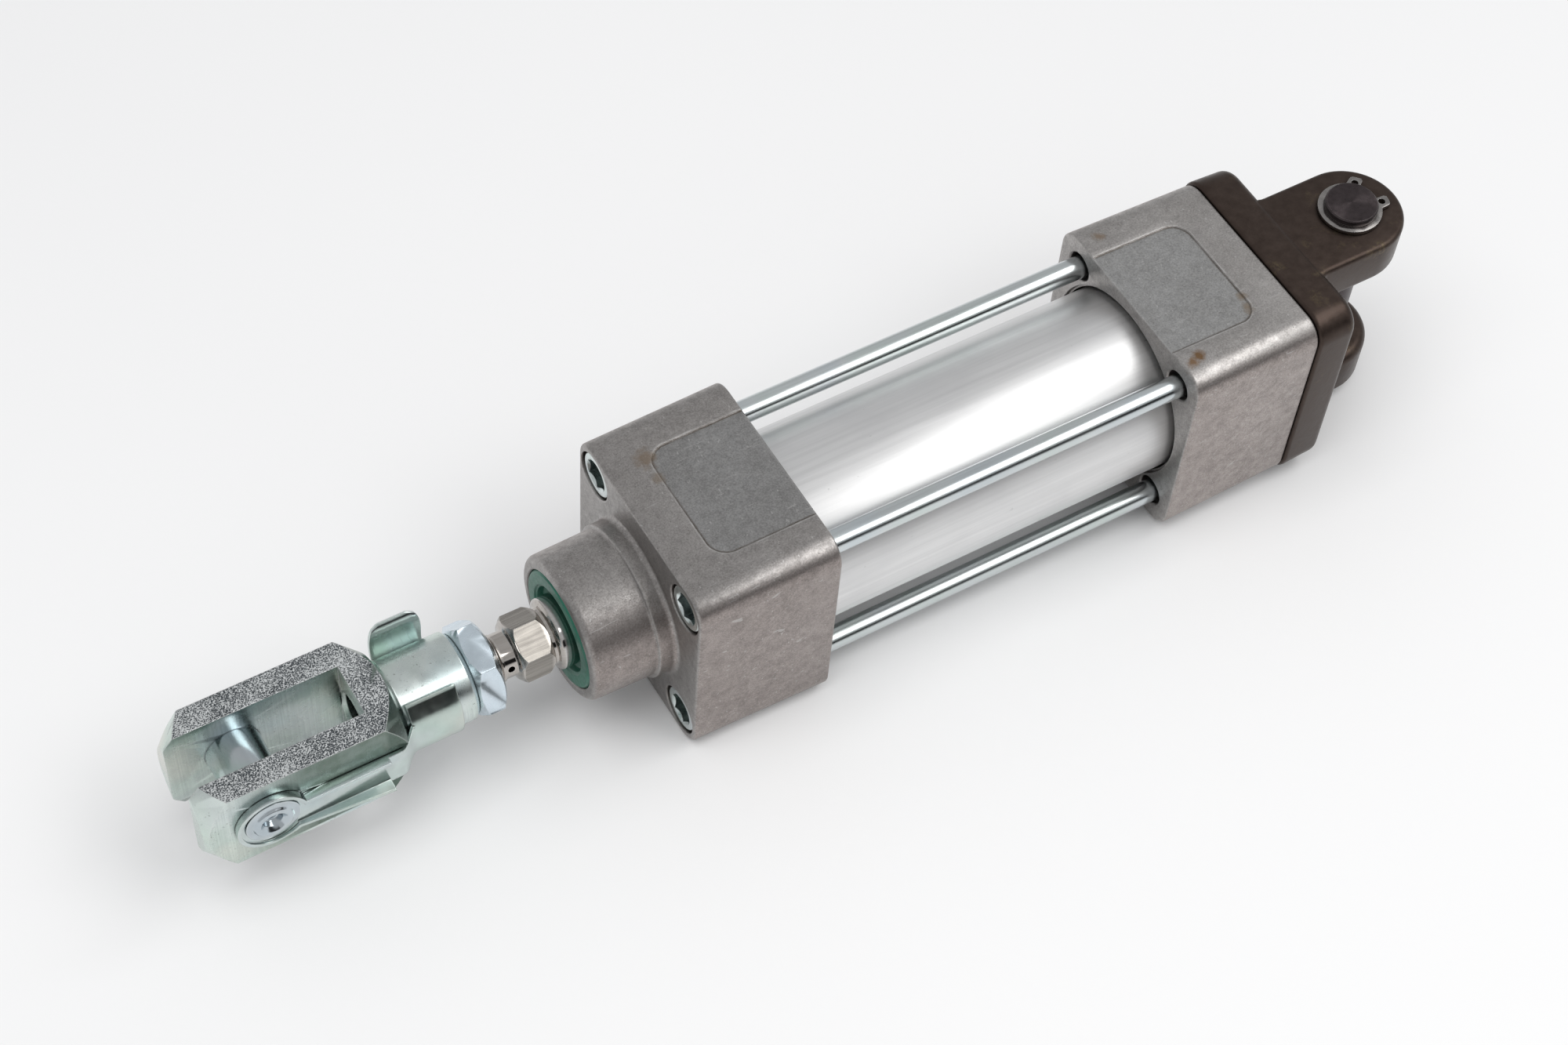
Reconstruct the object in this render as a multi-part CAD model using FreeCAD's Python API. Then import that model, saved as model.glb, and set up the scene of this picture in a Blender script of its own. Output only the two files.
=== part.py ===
import FreeCAD, Part
import os, math

V = FreeCAD.Vector
os.makedirs("parts", exist_ok=True)

# ---------------------------------------------------------------- driving dimensions (mm)
STROKE = 50.0          # travel of the rod
BORE_R = 20.0          # barrel bore radius
TUBE_R = 21.6          # barrel outside radius
CAP_L = 33.0           # length of each end cap
TUBE_VIS = 89.0        # barrel length seen between the caps
CAP_IN = 26.2          # half width of a cap at its barrel side
CAP_OUT = 25.7         # half width of a cap at its outer side (casting draft)
CAP_RC = 5.5           # radius of the long corner edges
TG = 19.0              # half of the tie rod spacing
ROD_R = 8.0            # piston rod radius
PILOT_R = 17.42        # machined pilot radius on both caps
PILOT_L = 4.0          # length of the pilot land
NOSE_L = 18.8          # nose length in front of the mounting face
NOSE_R = 16.7          # cast nose radius
TIE_R = 2.6            # tie rod radius
NUT_R = 5.3            # round tie rod nut radius
NUT_L = 15.0           # tie rod nut length
CB_R = 5.6             # counterbore radius around a tie rod nut
M6_R = 2.5             # core radius of the free thread in a front tie rod nut
THR6_R = 2.95          # outside radius of an M6 thread
PORT_R = 5.9           # port thread wall radius
WH = 30.0              # rod shoulder in front of the mounting face
HEX_AF = 13.0          # wrench flats on the rod end
THR_R = 5.95           # M12 rod thread
JAM_AF = 19.0          # jam nut across flats
JAM_T = 6.0
FORK_A = 24.0          # fork section
FORK_B = 12.4          # fork slot width
FORK_PIN_R = 6.0
FORK_NECK_R = 9.8
PIN_R = 6.0            # rear clevis pin
EAR_IN = 14.0          # half of the rear clevis gap
EAR_OUT = 25.6         # half of the rear clevis width
EAR_R = 12.4           # ear end radius
FL_T = 10.6            # rear clevis flange thickness
FL_H = 26.2            # half width of the flange
PIN_X = 26.5           # rear pin centre behind the rear cap
RUN = 0.05             # running clearance on a radius

XR = CAP_L + TUBE_VIS  # barrel side of the rear cap
XE = XR + CAP_L        # outer side of the rear cap
XP = XE + PIN_X        # rear pin centre
X_JAM = -35.3          # jam nut, rear face
X_NECK = X_JAM - JAM_T # fork neck end
X_FPIN = X_NECK - 48.0 # fork pin centre
X_TIP = X_FPIN - 14.0  # fork tip
CH_R = 12.5            # cushion chamber radius
SLV_R = 10.95          # cushion sleeve radius
SP_F = CAP_L + 5.0     # inner end of the front spigot
SP_R = XR - 5.0        # inner end of the rear spigot
PIS_L = 25.8           # piston length
X_P1 = SP_R - 1.6      # piston rear face, rod retracted
X_P0 = X_P1 - PIS_L    # piston front face, rod retracted
X_PM = 0.5 * (X_P0 + X_P1)


# ---------------------------------------------------------------- helpers
def cx(x0, x1, r, y=0.0, z=0.0):
    return Part.makeCylinder(r, x1 - x0, V(x0, y, z), V(1, 0, 0))


def cy(y0, y1, r, x=0.0, z=0.0):
    return Part.makeCylinder(r, y1 - y0, V(x, y0, z), V(0, 1, 0))


def cz(z0, z1, r, x=0.0, y=0.0):
    return Part.makeCylinder(r, z1 - z0, V(x, y, z0), V(0, 0, 1))


def tube(x0, x1, ri, ro):
    return cx(x0, x1, ro).cut(cx(x0 - 1, x1 + 1, ri))


def box(x0, x1, y0, y1, z0, z1):
    return Part.makeBox(x1 - x0, y1 - y0, z1 - z0, V(x0, y0, z0))


def turn(pts):
    """Solid of revolution about X from a closed outline of (x, r)."""
    p = [V(x, 0, r) for x, r in pts]
    return Part.Face(Part.makePolygon(p + [p[0]])).revolve(V(0, 0, 0), V(1, 0, 0), 360)


def turn_at(pts, base, axis, side):
    """Solid of revolution about an axis through base; outline of (along, out)."""
    a = V(*axis)
    s = V(*side)
    b = V(*base)
    p = [b + a * u + s * v for u, v in pts]
    return Part.Face(Part.makePolygon(p + [p[0]])).revolve(b, a, 360)


def hexx(x0, x1, af, turn_deg=0.0):
    r = af / math.sqrt(3.0)
    p = []
    for i in range(6):
        t = math.radians(60 * i + turn_deg)
        p.append(V(x0, r * math.cos(t), r * math.sin(t)))
    return Part.Face(Part.makePolygon(p + [p[0]])).extrude(V(x1 - x0, 0, 0))


def hex_at(y, z, x0, x1, af):
    s = hexx(x0, x1, af, 15.0)
    s.translate(V(0, y, z))
    return s


def rsq(x, h, rc):
    """Rounded square wire in the plane X = x."""
    e = []
    c = h - rc
    m = math.sqrt(0.5) * rc
    for sy, sz, nxt in ((1, 1, 0), (-1, 1, 1), (-1, -1, 2), (1, -1, 3)):
        if nxt == 0:
            e.append(Part.Arc(V(x, h, c), V(x, c + m, c + m), V(x, c, h)).toShape())
            e.append(Part.makeLine(V(x, c, h), V(x, -c, h)))
        elif nxt == 1:
            e.append(Part.Arc(V(x, -c, h), V(x, -c - m, c + m), V(x, -h, c)).toShape())
            e.append(Part.makeLine(V(x, -h, c), V(x, -h, -c)))
        elif nxt == 2:
            e.append(Part.Arc(V(x, -h, -c), V(x, -c - m, -c - m), V(x, -c, -h)).toShape())
            e.append(Part.makeLine(V(x, -c, -h), V(x, c, -h)))
        else:
            e.append(Part.Arc(V(x, c, -h), V(x, c + m, -c - m), V(x, h, -c)).toShape())
            e.append(Part.makeLine(V(x, h, -c), V(x, h, c)))
    return Part.Wire(e)


def drafted(x0, h0, x1, h1, rc, edge):
    """Drafted square block with broken end edges."""
    d = edge
    xs = [(x0, h0 - d, rc - 0.3), (x0 + d, h0, rc), (x1 - d, h1, rc), (x1, h1 - d, rc - 0.3)]
    parts = []
    for a, b in zip(xs, xs[1:]):
        parts.append(Part.makeLoft([rsq(*a), rsq(*b)], True, True))
    return parts[0].multiFuse(parts[1:]).removeSplitter()


def four(fn):
    return [fn(y, z) for y in (-TG, TG) for z in (-TG, TG)]


def save(name, shape):
    if isinstance(shape, list):
        shape = Part.makeCompound(shape)
    for s in shape.Solids:
        if not s.isValid() or s.Volume <= 0:
            raise RuntimeError(name)
    shape.exportStep("parts/" + name + ".step")
    print(name, len(shape.Solids), round(shape.Volume, 1))


def panel_cut(x_open, x_in, top, r):
    """Shallow U shaped step cut into the top of a cap, open at x_open."""
    w = 15.2
    s = 1.0 if x_in > x_open else -1.0
    xo = x_open - 2.0 * s
    xc = x_in - r * s
    c = w - r
    m = math.sqrt(0.5) * r
    e = [
        Part.makeLine(V(xo, -w, 0), V(xc, -w, 0)),
        Part.Arc(V(xc, -w, 0), V(xc + m * s, -c - m, 0), V(x_in, -c, 0)).toShape(),
        Part.makeLine(V(x_in, -c, 0), V(x_in, c, 0)),
        Part.Arc(V(x_in, c, 0), V(xc + m * s, c + m, 0), V(xc, w, 0)).toShape(),
        Part.makeLine(V(xc, w, 0), V(xo, w, 0)),
        Part.makeLine(V(xo, w, 0), V(xo, -w, 0)),
    ]
    f = Part.Face(Part.Wire(e))
    f.translate(V(0, 0, top))
    return f.extrude(V(0, 0, 4.0))


def cap_common(s, x_mount, x_side, d):
    """Cuts shared by both caps; d is +1 when the barrel lies toward +X."""
    # counterbores for the tie rod nuts and clearance holes for the tie rods
    for y in (-TG, TG):
        for z in (-TG, TG):
            a, b = sorted((x_mount - d, x_mount + d * 15.4))
            s = s.cut(cx(a, b, CB_R, y, z))
            a, b = sorted((x_mount, x_side + d))
            s = s.cut(cx(a, b, 3.2, y, z))
    # seat for the end of the barrel
    a, b = sorted((x_side - d * 4.0, x_side + d * 20.0))
    ring = cx(a, b, TUBE_R + 0.4).cut(cx(a - 1, b + 1, BORE_R - 0.05))
    s = s.cut(ring)
    # o-ring groove in the spigot
    a, b = sorted((x_side + d * 1.4, x_side + d * 3.8))
    s = s.cut(cx(a, b, BORE_R + 1.0).cut(cx(a - 1, b + 1, BORE_R - 1.8)))
    # port, spot face, and passage to the chamber
    xp = x_mount + d * 16.0
    s = s.cut(cy(13.5, 30.0, PORT_R, xp, 0))
    s = s.cut(cy(25.4, 30.0, 9.6, xp, 0))
    s = s.cut(cy(8.0, 14.0, 3.5, xp, 0))
    # cushion adjusting screw: bore, seat, passages past the cushion seal
    xs = x_mount + d * 24.0
    s = s.cut(cy(12.0, 30.0, 2.55, xs, -11.0))
    s = s.cut(cy(23.6, 30.0, 3.4, xs, -11.0))
    s = s.cut(cy(5.0, 13.0, 0.9, xs, -11.0))
    a, b = sorted((xs, x_side + d * 6.0))
    s = s.cut(cx(a, b, 0.9, 12.6, -11.0))
    return s


# ---------------------------------------------------------------- front cap
body = drafted(0.0, CAP_OUT, CAP_L, CAP_IN, CAP_RC, 0.6)
nose = turn([
    (2.0, 0.0), (-NOSE_L, 0.0), (-NOSE_L, 15.3), (-NOSE_L + 0.35, 15.95), (-NOSE_L + 0.95, 16.35),
    (-NOSE_L + 1.8, 16.5), (-PILOT_L - 0.7, NOSE_R), (-PILOT_L, PILOT_R), (-1.0, PILOT_R),
    (-0.62, PILOT_R + 0.08), (-0.29, PILOT_R + 0.29), (-0.08, PILOT_R + 0.62), (0.0, PILOT_R + 1.0), (2.0, PILOT_R + 1.0)])
spig = cx(CAP_L - 4.0, SP_F, BORE_R - 0.05)
front = body.multiFuse([nose, spig]).removeSplitter()
front = cap_common(front, 0.0, CAP_L, 1.0)
front = front.cut(cx(-NOSE_L - 1, -12.0, 13.5))
front = front.cut(cx(-13.0, 11.5, 10.0))
front = front.cut(cx(11.0, 15.0, 8.6))
front = front.cut(cx(14.0, SP_F + 1, CH_R))
front = front.cut(cx(33.0, 37.0, 13.6))
front = front.cut(panel_cut(CAP_L, 9.6, CAP_IN - 0.42, 4.5))
save("front_cap", front)

# ---------------------------------------------------------------- rear cap
body = drafted(XR, CAP_IN, XE, CAP_OUT, CAP_RC, 0.6)
spig = cx(SP_R, XR + 4.0, BORE_R - 0.05)
boss = turn([(XE - 1, 0), (XE + PILOT_L - 0.6, 0), (XE + PILOT_L - 0.6, PILOT_R - 0.5),
             (XE + PILOT_L - 1.1, PILOT_R), (XE - 1, PILOT_R)])
rear = body.multiFuse([spig, boss]).removeSplitter()
rear = cap_common(rear, XE, XR, -1.0)
rear = rear.cut(cx(SP_R - 1, XE - 12.0, CH_R))
rear = rear.cut(cx(XR - 4.0, XR, 13.6))
rear = rear.cut(panel_cut(XR, XE - 9.6, CAP_IN - 0.42, 4.5))
save("rear_cap", rear)

# ---------------------------------------------------------------- barrel
b = turn([(CAP_L - 4.0, BORE_R + 0.5), (CAP_L - 3.5, BORE_R), (XR + 3.5, BORE_R), (XR + 4.0, BORE_R + 0.5),
          (XR + 4.0, TUBE_R - 0.4), (XR + 3.6, TUBE_R), (CAP_L - 3.6, TUBE_R), (CAP_L - 4.0, TUBE_R - 0.4)])
save("barrel_tube", b)

# ---------------------------------------------------------------- tie rods and nuts
def tie(y, z):
    s = turn([(11.2, 0), (11.2, 2.3), (11.8, THR6_R), (17.0, THR6_R), (17.4, TIE_R), (XE - 17.4, TIE_R), (XE - 17.0, THR6_R),
              (XE - 11.8, THR6_R), (XE - 11.2, 2.3), (XE - 11.2, 0)])
    s.translate(V(0, y, z))
    return s


def tnut(y, z, x0, d):
    """Round nut: hex socket at its outer end, mounting thread, then the tie rod thread."""
    s = turn([(0, 0), (0, NUT_R - 0.7), (0.7, NUT_R), (NUT_L, NUT_R), (NUT_L, 0)])
    s = s.cut(hex_at(0, 0, -1, 5.0, 6.0))
    s = s.cut(turn([(-0.1, 0), (-0.1, 3.75), (0.55, 3.1), (0.55, 0)]))
    s = s.cut(cx(4.5, 11.0, M6_R if d > 0 else THR6_R + 0.03))
    s = s.cut(cx(10.6, NUT_L + 1, THR6_R + 0.03))
    if d < 0:
        s.rotate(V(0, 0, 0), V(0, 0, 1), 180)
    s.translate(V(x0, y, z))
    return s


save("tie_rods", four(tie))
save("tie_rod_nuts_front", four(lambda y, z: tnut(y, z, 0.4, 1)))
save("tie_rod_nuts_rear", four(lambda y, z: tnut(y, z, XE - 0.4, -1)))

# ---------------------------------------------------------------- fixed seals, bearing, cushion parts
save("rod_wiper_seal", turn([
    (-NOSE_L - 0.12, 10.0), (-NOSE_L - 0.12, 13.0), (-NOSE_L + 0.35, 13.45), (-12.05, 13.45), (-12.05, ROD_R + 0.5),
    (-13.2, ROD_R + 0.06), (-13.9, ROD_R + 0.06), (-14.3, ROD_R + 0.9), (-15.6, ROD_R + 0.9),
    (-16.1, ROD_R + 0.06), (-16.7, ROD_R + 0.06), (-17.0, 9.2), (-NOSE_L + 0.5, 9.6)]))
save("rod_bearing_bush", turn([(-12.0, ROD_R + 0.4), (-12.0, 10.0), (11.45, 10.0), (11.45, ROD_R + 0.4),
                               (11.05, ROD_R + 0.04), (-11.6, ROD_R + 0.04)]))
for nm, x0, x1 in (("barrel_oring_front", CAP_L + 1.45, CAP_L + 3.75), ("barrel_oring_rear", XR - 3.75, XR - 1.45)):
    h = 0.45
    save(nm, turn([(x0, BORE_R - 1.75), (x0, BORE_R - 0.5), (x0 + h, BORE_R - 0.02), (x1 - h, BORE_R - 0.02),
                   (x1, BORE_R - 0.5), (x1, BORE_R - 1.75)]))
for nm, x0, d in (("cushion_seal_front", 33.05, 1), ("cushion_seal_rear", XR - 0.05, -1)):
    pts = [(0, 11.6), (0, 13.55), (3.9, 13.55), (3.9, 12.2), (3.3, SLV_R + 0.06), (2.2, SLV_R + 0.06), (1.2, 11.6)]
    save(nm, turn([(x0 + d * u, v) for u, v in pts]))


def cushion(x):
    s = turn_at([(12.2, 0), (15.4, 1.6), (15.4, 2.5), (23.7, 2.5), (23.7, 3.1), (25.0, 3.1), (25.2, 2.9), (25.2, 0)],
                (x, 0, -11.0), (0, 1, 0), (1, 0, 0))
    return s.cut(box(x - 4, x + 4, 24.2, 26, -11.45, -10.55))


save("cushion_screw_front", cushion(24.0))
save("cushion_screw_rear", cushion(XE - 24.0))

# ---------------------------------------------------------------- rear clevis
plate = drafted(XE, FL_H, XE + FL_T, FL_H - 0.3, 6.0, 1.0)
ears = []
for z0, z1 in ((EAR_IN, EAR_OUT), (-EAR_OUT, -EAR_IN)):
    e = cz(z0, z1, EAR_R, XP, 0).fuse(box(XE + 4.5, XP, -EAR_R, EAR_R, z0, z1))
    ears.append(e.removeSplitter())
clevis = plate.multiFuse(ears).removeSplitter()
clevis = clevis.cut(cz(-40, 40, PIN_R + RUN, XP, 0))
clevis = clevis.cut(cx(XE - 1, XE + PILOT_L + 0.2, PILOT_R + 0.06))
for y in (-TG, TG):
    for z in (-TG, TG):
        clevis = clevis.cut(cx(XE - 1, XE + FL_T + 1, 3.2, y, z))
        clevis = clevis.cut(cx(XE + 3.8, XE + FL_T + 20, 5.5, y, z))
save("rear_clevis", clevis)


def screw(y, z):
    s = turn([(XE - 10.4, 0), (XE - 10.4, 1.9), (XE - 9.9, THR6_R), (XE + 3.8, THR6_R), (XE + 3.8, 5.0),
              (XE + 9.3, 5.0), (XE + 9.8, 4.6), (XE + 9.8, 0)])
    h = hexx(XE + 6.5, XE + 12.0, 5.0, 15.0)
    s = s.cut(h)
    s.translate(V(0, y, z))
    return s


save("clevis_screws", four(screw))

PZ = 28.3
GZ = EAR_OUT + 0.06
GT = 1.1
s = turn_at([(-PZ, 0), (-PZ, PIN_R - 0.3), (-PZ + 0.3, PIN_R), (-GZ - GT, PIN_R), (-GZ - GT, 5.72), (-GZ, 5.72),
             (-GZ, PIN_R), (GZ, PIN_R), (GZ, 5.72), (GZ + GT, 5.72), (GZ + GT, PIN_R), (PZ - 0.3, PIN_R),
             (PZ, PIN_R - 0.3), (PZ, 0)], (XP, 0, 0), (0, 0, 1), (1, 0, 0))
save("rear_clevis_pin", s)


def circlip(z, mid):
    """Snap ring in the pin groove; mid is the direction of its gap in degrees."""
    t = 0.98
    c = math.radians(mid)
    out = Part.makeCylinder(7.45, t, V(0, 0, 0), V(0, 0, 1))
    out.translate(V(0.28 * -math.cos(c), 0.28 * -math.sin(c), 0))
    s = out
    for da in (-33.0, 33.0):
        a = math.radians(mid + da)
        s = s.fuse(Part.makeCylinder(1.75, t, V(7.0 * math.cos(a), 7.0 * math.sin(a), 0), V(0, 0, 1)))
    s = s.cut(Part.makeCylinder(5.75, 4, V(0, 0, -1), V(0, 0, 1)))
    w = [V(0, 0, -1), V(12 * math.cos(math.radians(mid - 19)), 12 * math.sin(math.radians(mid - 19)), -1),
         V(12 * math.cos(math.radians(mid + 19)), 12 * math.sin(math.radians(mid + 19)), -1)]
    s = s.cut(Part.Face(Part.makePolygon(w + [w[0]])).extrude(V(0, 0, 4)))
    for da in (-33.0, 33.0):
        a = math.radians(mid + da)
        s = s.cut(Part.makeCylinder(0.8, 4, V(7.15 * math.cos(a), 7.15 * math.sin(a), -1), V(0, 0, 1)))
    s.translate(V(XP, 0, z))
    return s


save("pin_circlips", [circlip(GZ + 0.06, 15.4), circlip(-GZ - GT + 0.06, 15.4)])

# ---------------------------------------------------------------- piston group (rod retracted)
GX0, GX1 = X_PM - 3.0, X_PM + 3.0
ph = turn([(X_P0, 5.02), (X_P0, 18.8), (X_P0 + 0.9, 19.7), (X_P0 + 1.8, 19.7), (X_P0 + 1.8, 15.0), (X_P0 + 6.6, 15.0),
           (X_P0 + 6.6, 19.7), (GX0, 19.7), (GX0, 13.0), (X_PM, 13.0), (X_PM, 5.02)])
save("piston_half_front", ph)
ph = turn([(X_P1, 5.02), (X_P1, 18.8), (X_P1 - 0.9, 19.7), (X_P1 - 1.8, 19.7), (X_P1 - 1.8, 15.0), (X_P1 - 6.6, 15.0),
           (X_P1 - 6.6, 19.7), (GX1, 19.7), (GX1, 13.0), (X_PM, 13.0), (X_PM, 5.02)])
save("piston_half_rear", ph)
save("piston_magnet", tube(GX0 + 0.05, GX1 - 0.05, 13.05, 17.6))
save("piston_guide_ring", tube(GX0 + 0.1, GX1 - 0.1, 17.75, BORE_R - 0.03))


def lip(x0, d):
    pts = [(0.1, 15.06), (0.1, 18.9), (0.5, BORE_R - 0.03), (1.5, BORE_R - 0.03), (2.2, 19.4), (4.7, 19.4), (4.7, 15.06),
           (2.2, 15.06), (1.6, 15.9), (0.9, 15.06)]
    return turn([(x0 + d * u, v) for u, v in pts])


save("piston_seal_front", lip(X_P0 + 1.8, 1))
save("piston_seal_rear", lip(X_P1 - 1.8, -1))
save("cushion_sleeve_front", turn([(X_P0 - 20.0, ROD_R + 0.02), (X_P0 - 20.0, 9.6), (X_P0 - 17.0, SLV_R), (X_P0, SLV_R),
                                   (X_P0, ROD_R + 0.02)]))
save("cushion_sleeve_rear", turn([(X_P1, 5.02), (X_P1, SLV_R), (X_P1 + 11.0, SLV_R), (X_P1 + 14.0, 9.6),
                                  (X_P1 + 14.0, 5.02)]))
pn = hexx(X_P1 + 14.0, X_P1 + 18.6, 16.0)
pn = pn.common(turn([(X_P1 + 14.0, 0), (X_P1 + 14.0, 8.4), (X_P1 + 14.9, 9.4), (X_P1 + 17.7, 9.4), (X_P1 + 18.6, 8.2), (X_P1 + 18.6, 0)]))
save("piston_nut", pn.cut(cx(X_P1, X_P1 + 30, 5.02)))

X_TH = X_NECK - 13.0   # front end of the rod thread
rod = turn([(X_TH, 0), (X_TH, 5.1), (X_TH + 0.9, THR_R), (-WH - 3.3, THR_R), (-WH - 3.3, 5.0), (-WH - 0.4, 5.0),
            (-WH - 0.1, 6.3), (-WH + 1.05, 7.6), (-WH + 5.9, 7.6), (-WH + 7.3, 6.5), (-WH + 8.0, 6.5),
            (-WH + 8.8, 7.9), (-WH + 9.2, ROD_R), (X_P0, ROD_R), (X_P0, 5.0), (X_P1 + 19.0, 5.0), (X_P1 + 19.6, 4.4), (X_P1 + 19.6, 0)])
blk = cx(-WH - 0.1, -WH + 7.5, 12.0).cut(hexx(-WH - 1, -WH + 8, HEX_AF, 30.0))
rod = rod.cut(blk)
save("piston_rod", rod)

# ---------------------------------------------------------------- jam nut and fork
jam = hexx(X_NECK, X_JAM, JAM_AF, 10.0)
rj = JAM_AF / math.sqrt(3.0)
jam = jam.common(turn([(X_NECK, 0), (X_NECK, 9.2), (X_NECK + 0.95, rj + 0.1), (X_JAM - 0.95, rj + 0.1), (X_JAM, 9.2), (X_JAM, 0)]))
jam = jam.cut(cx(X_NECK - 1, X_JAM + 1, THR_R + 0.03))
jam = jam.cut(turn([(X_JAM + 0.1, 0), (X_JAM + 0.1, 6.9), (X_JAM - 0.8, THR_R), (X_JAM - 0.8, 0)]))
save("rod_jam_nut", jam)

h = FORK_A / 2.0
X_SH = X_FPIN + 24.0   # bottom of the fork slot
fk = box(X_TIP, X_NECK - 15.0, -h, h, -h, h)
env = turn([(X_TIP, 0), (X_TIP, 10.6), (X_TIP + 0.5, 11.8), (X_TIP + 5.9, 17.2), (X_SH + 1.2, 17.2),
            (X_SH + 6.4, 12.4), (X_SH + 7.4, 10.4), (X_SH + 7.8, FORK_NECK_R), (X_NECK - 1.0, FORK_NECK_R), (X_NECK, 8.7), (X_NECK, 0)])
neck = cx(X_SH + 1.0, X_NECK, FORK_NECK_R)
fk = fk.fuse(neck).common(env)
fk = fk.cut(box(X_TIP - 1, X_SH, -FORK_B / 2, FORK_B / 2, -20, 20))
fk = fk.cut(cy(-20, 20, FORK_PIN_R + 0.04, X_FPIN, 0))
fk = fk.cut(cx(X_SH - 1, X_NECK + 1, THR_R + 0.03))
fk = fk.cut(turn([(X_NECK + 0.1, 0), (X_NECK + 0.1, 6.8), (X_NECK - 0.8, THR_R), (X_NECK - 0.8, 0)]))
save("fork_clevis", fk.removeSplitter())

# fork pin: riveted near end, groove behind the head where the clip sits
CY0 = -h - 1.0
CY1 = -h - 0.1
s = turn_at([(CY0 - 0.9, 0), (CY0 - 0.9, 5.3), (CY0 - 0.5, 6.0), (CY0 - 0.02, 6.0), (CY0 - 0.02, 5.3), (CY1 + 0.02, 5.3),
             (CY1 + 0.02, FORK_PIN_R), (h + 0.3, FORK_PIN_R), (h + 0.9, 5.4), (h + 0.9, 0)],
            (X_FPIN, 0, 0), (0, 1, 0), (0, 0, 1))
dim = turn_at([(CY0 - 1.0, 0), (CY0 - 1.0, 3.6), (CY0 - 0.8, 3.4), (CY0 + 1.4, 2.0), (CY0 + 1.9, 0)],
              (X_FPIN, 0, 0), (0, 1, 0), (0, 0, 1))
save("fork_pin", s.cut(dim))

# retaining clip: disc on the pin, channel arm, sprung shell round the fork neck, finger tab
t = CY1 - CY0
X_A1 = X_NECK - 22.5   # end of the straight arm
disc = cy(CY0, CY1, 7.8, X_FPIN, 0)
web = box(X_FPIN, X_A1, CY0, CY1, -5.6, 3.2)
fl_lo = box(X_FPIN + 5.2, X_A1, CY0 - 2.6, CY1, -5.6, -5.6 + t)
fl_up = box(X_FPIN + 6.6, X_A1 - 2.0, CY0 - 1.4, CY1, 3.2 - t, 3.2)
ri = FORK_NECK_R + 0.15
ro = ri + t
X_C0 = X_NECK - 15.6
X_C1 = X_NECK - 4.6
shell = cx(X_C0, X_C1, ro).cut(cx(X_C0 - 1, X_C1 + 1, ri))
# open the shell at the top between the near lip and the far tab
a0, a1 = math.radians(138.0), math.radians(14.0)
w = [V(X_C0 - 1, 0, 0), V(X_C0 - 1, 30 * math.cos(a1), 30 * math.sin(a1)), V(X_C0 - 1, 30 * math.cos(a1), 40),
     V(X_C0 - 1, 30 * math.cos(a0), 40), V(X_C0 - 1, 30 * math.cos(a0), 30 * math.sin(a0))]
shell = shell.cut(Part.Face(Part.makePolygon(w + [w[0]])).extrude(V(40, 0, 0)))
# link from the arm to the shell
p = [V(X_A1 - 1.0, CY0, -5.6), V(X_A1 - 1.0, CY1, -5.6), V(X_SH + 6.3, CY1, -5.6), V(X_C0 + 0.3, -ri + 0.3, -5.6),
     V(X_C0 + 1.8, -ri + 0.3, -5.6), V(X_C0 + 1.8, -ro + 0.03, -5.6), V(X_C0 + 0.3, -ro + 0.03, -5.6), V(X_SH + 6.8, CY0, -5.6)]
link = Part.Face(Part.makePolygon(p + [p[0]])).extrude(V(0, 0, 8.8))
link = link.cut(turn([(X_SH + 5.0, 0), (X_SH + 5.0, 12.6), (X_SH + 6.5, 12.55), (X_SH + 7.5, 10.55), (X_SH + 7.9, ri),
                      (X_C1 + 5, ri), (X_C1 + 5, 0)]))
# finger tab on the far side, curled outward
yt, zt = ri * math.cos(a1), ri * math.sin(a1)
nt = V(0, math.cos(a1), math.sin(a1))
q = [V(X_C0, yt, zt), V(X_C0, ro * math.cos(a1), ro * math.sin(a1)), V(X_C0, 13.4, 5.4), V(X_C0, 13.9, 9.6),
     V(X_C0, 13.0, 9.9), V(X_C0, 12.4, 5.9)]
tab = Part.Face(Part.makePolygon(q + [q[0]])).extrude(V(X_C1 - X_C0, 0, 0))
clip = disc.multiFuse([web, fl_lo, fl_up, link, shell, tab]).removeSplitter()
clip = clip.cut(cy(-20, 20, 5.32, X_FPIN, 0))
save("clip_spring", clip)
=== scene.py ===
import bpy
import bmesh
import math
from mathutils import Vector, Matrix


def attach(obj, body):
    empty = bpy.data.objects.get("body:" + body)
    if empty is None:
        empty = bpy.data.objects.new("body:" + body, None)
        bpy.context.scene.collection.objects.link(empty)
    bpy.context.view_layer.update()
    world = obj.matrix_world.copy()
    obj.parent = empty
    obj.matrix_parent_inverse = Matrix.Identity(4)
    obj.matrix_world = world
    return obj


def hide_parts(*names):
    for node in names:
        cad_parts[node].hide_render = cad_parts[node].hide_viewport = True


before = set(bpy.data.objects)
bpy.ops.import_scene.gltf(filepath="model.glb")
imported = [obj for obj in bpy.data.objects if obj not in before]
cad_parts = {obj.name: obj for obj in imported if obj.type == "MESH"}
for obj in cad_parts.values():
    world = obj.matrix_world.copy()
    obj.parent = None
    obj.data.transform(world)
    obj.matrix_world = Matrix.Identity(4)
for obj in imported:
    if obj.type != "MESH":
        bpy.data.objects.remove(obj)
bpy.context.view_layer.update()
MM = 0.001
PI = math.pi

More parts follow.
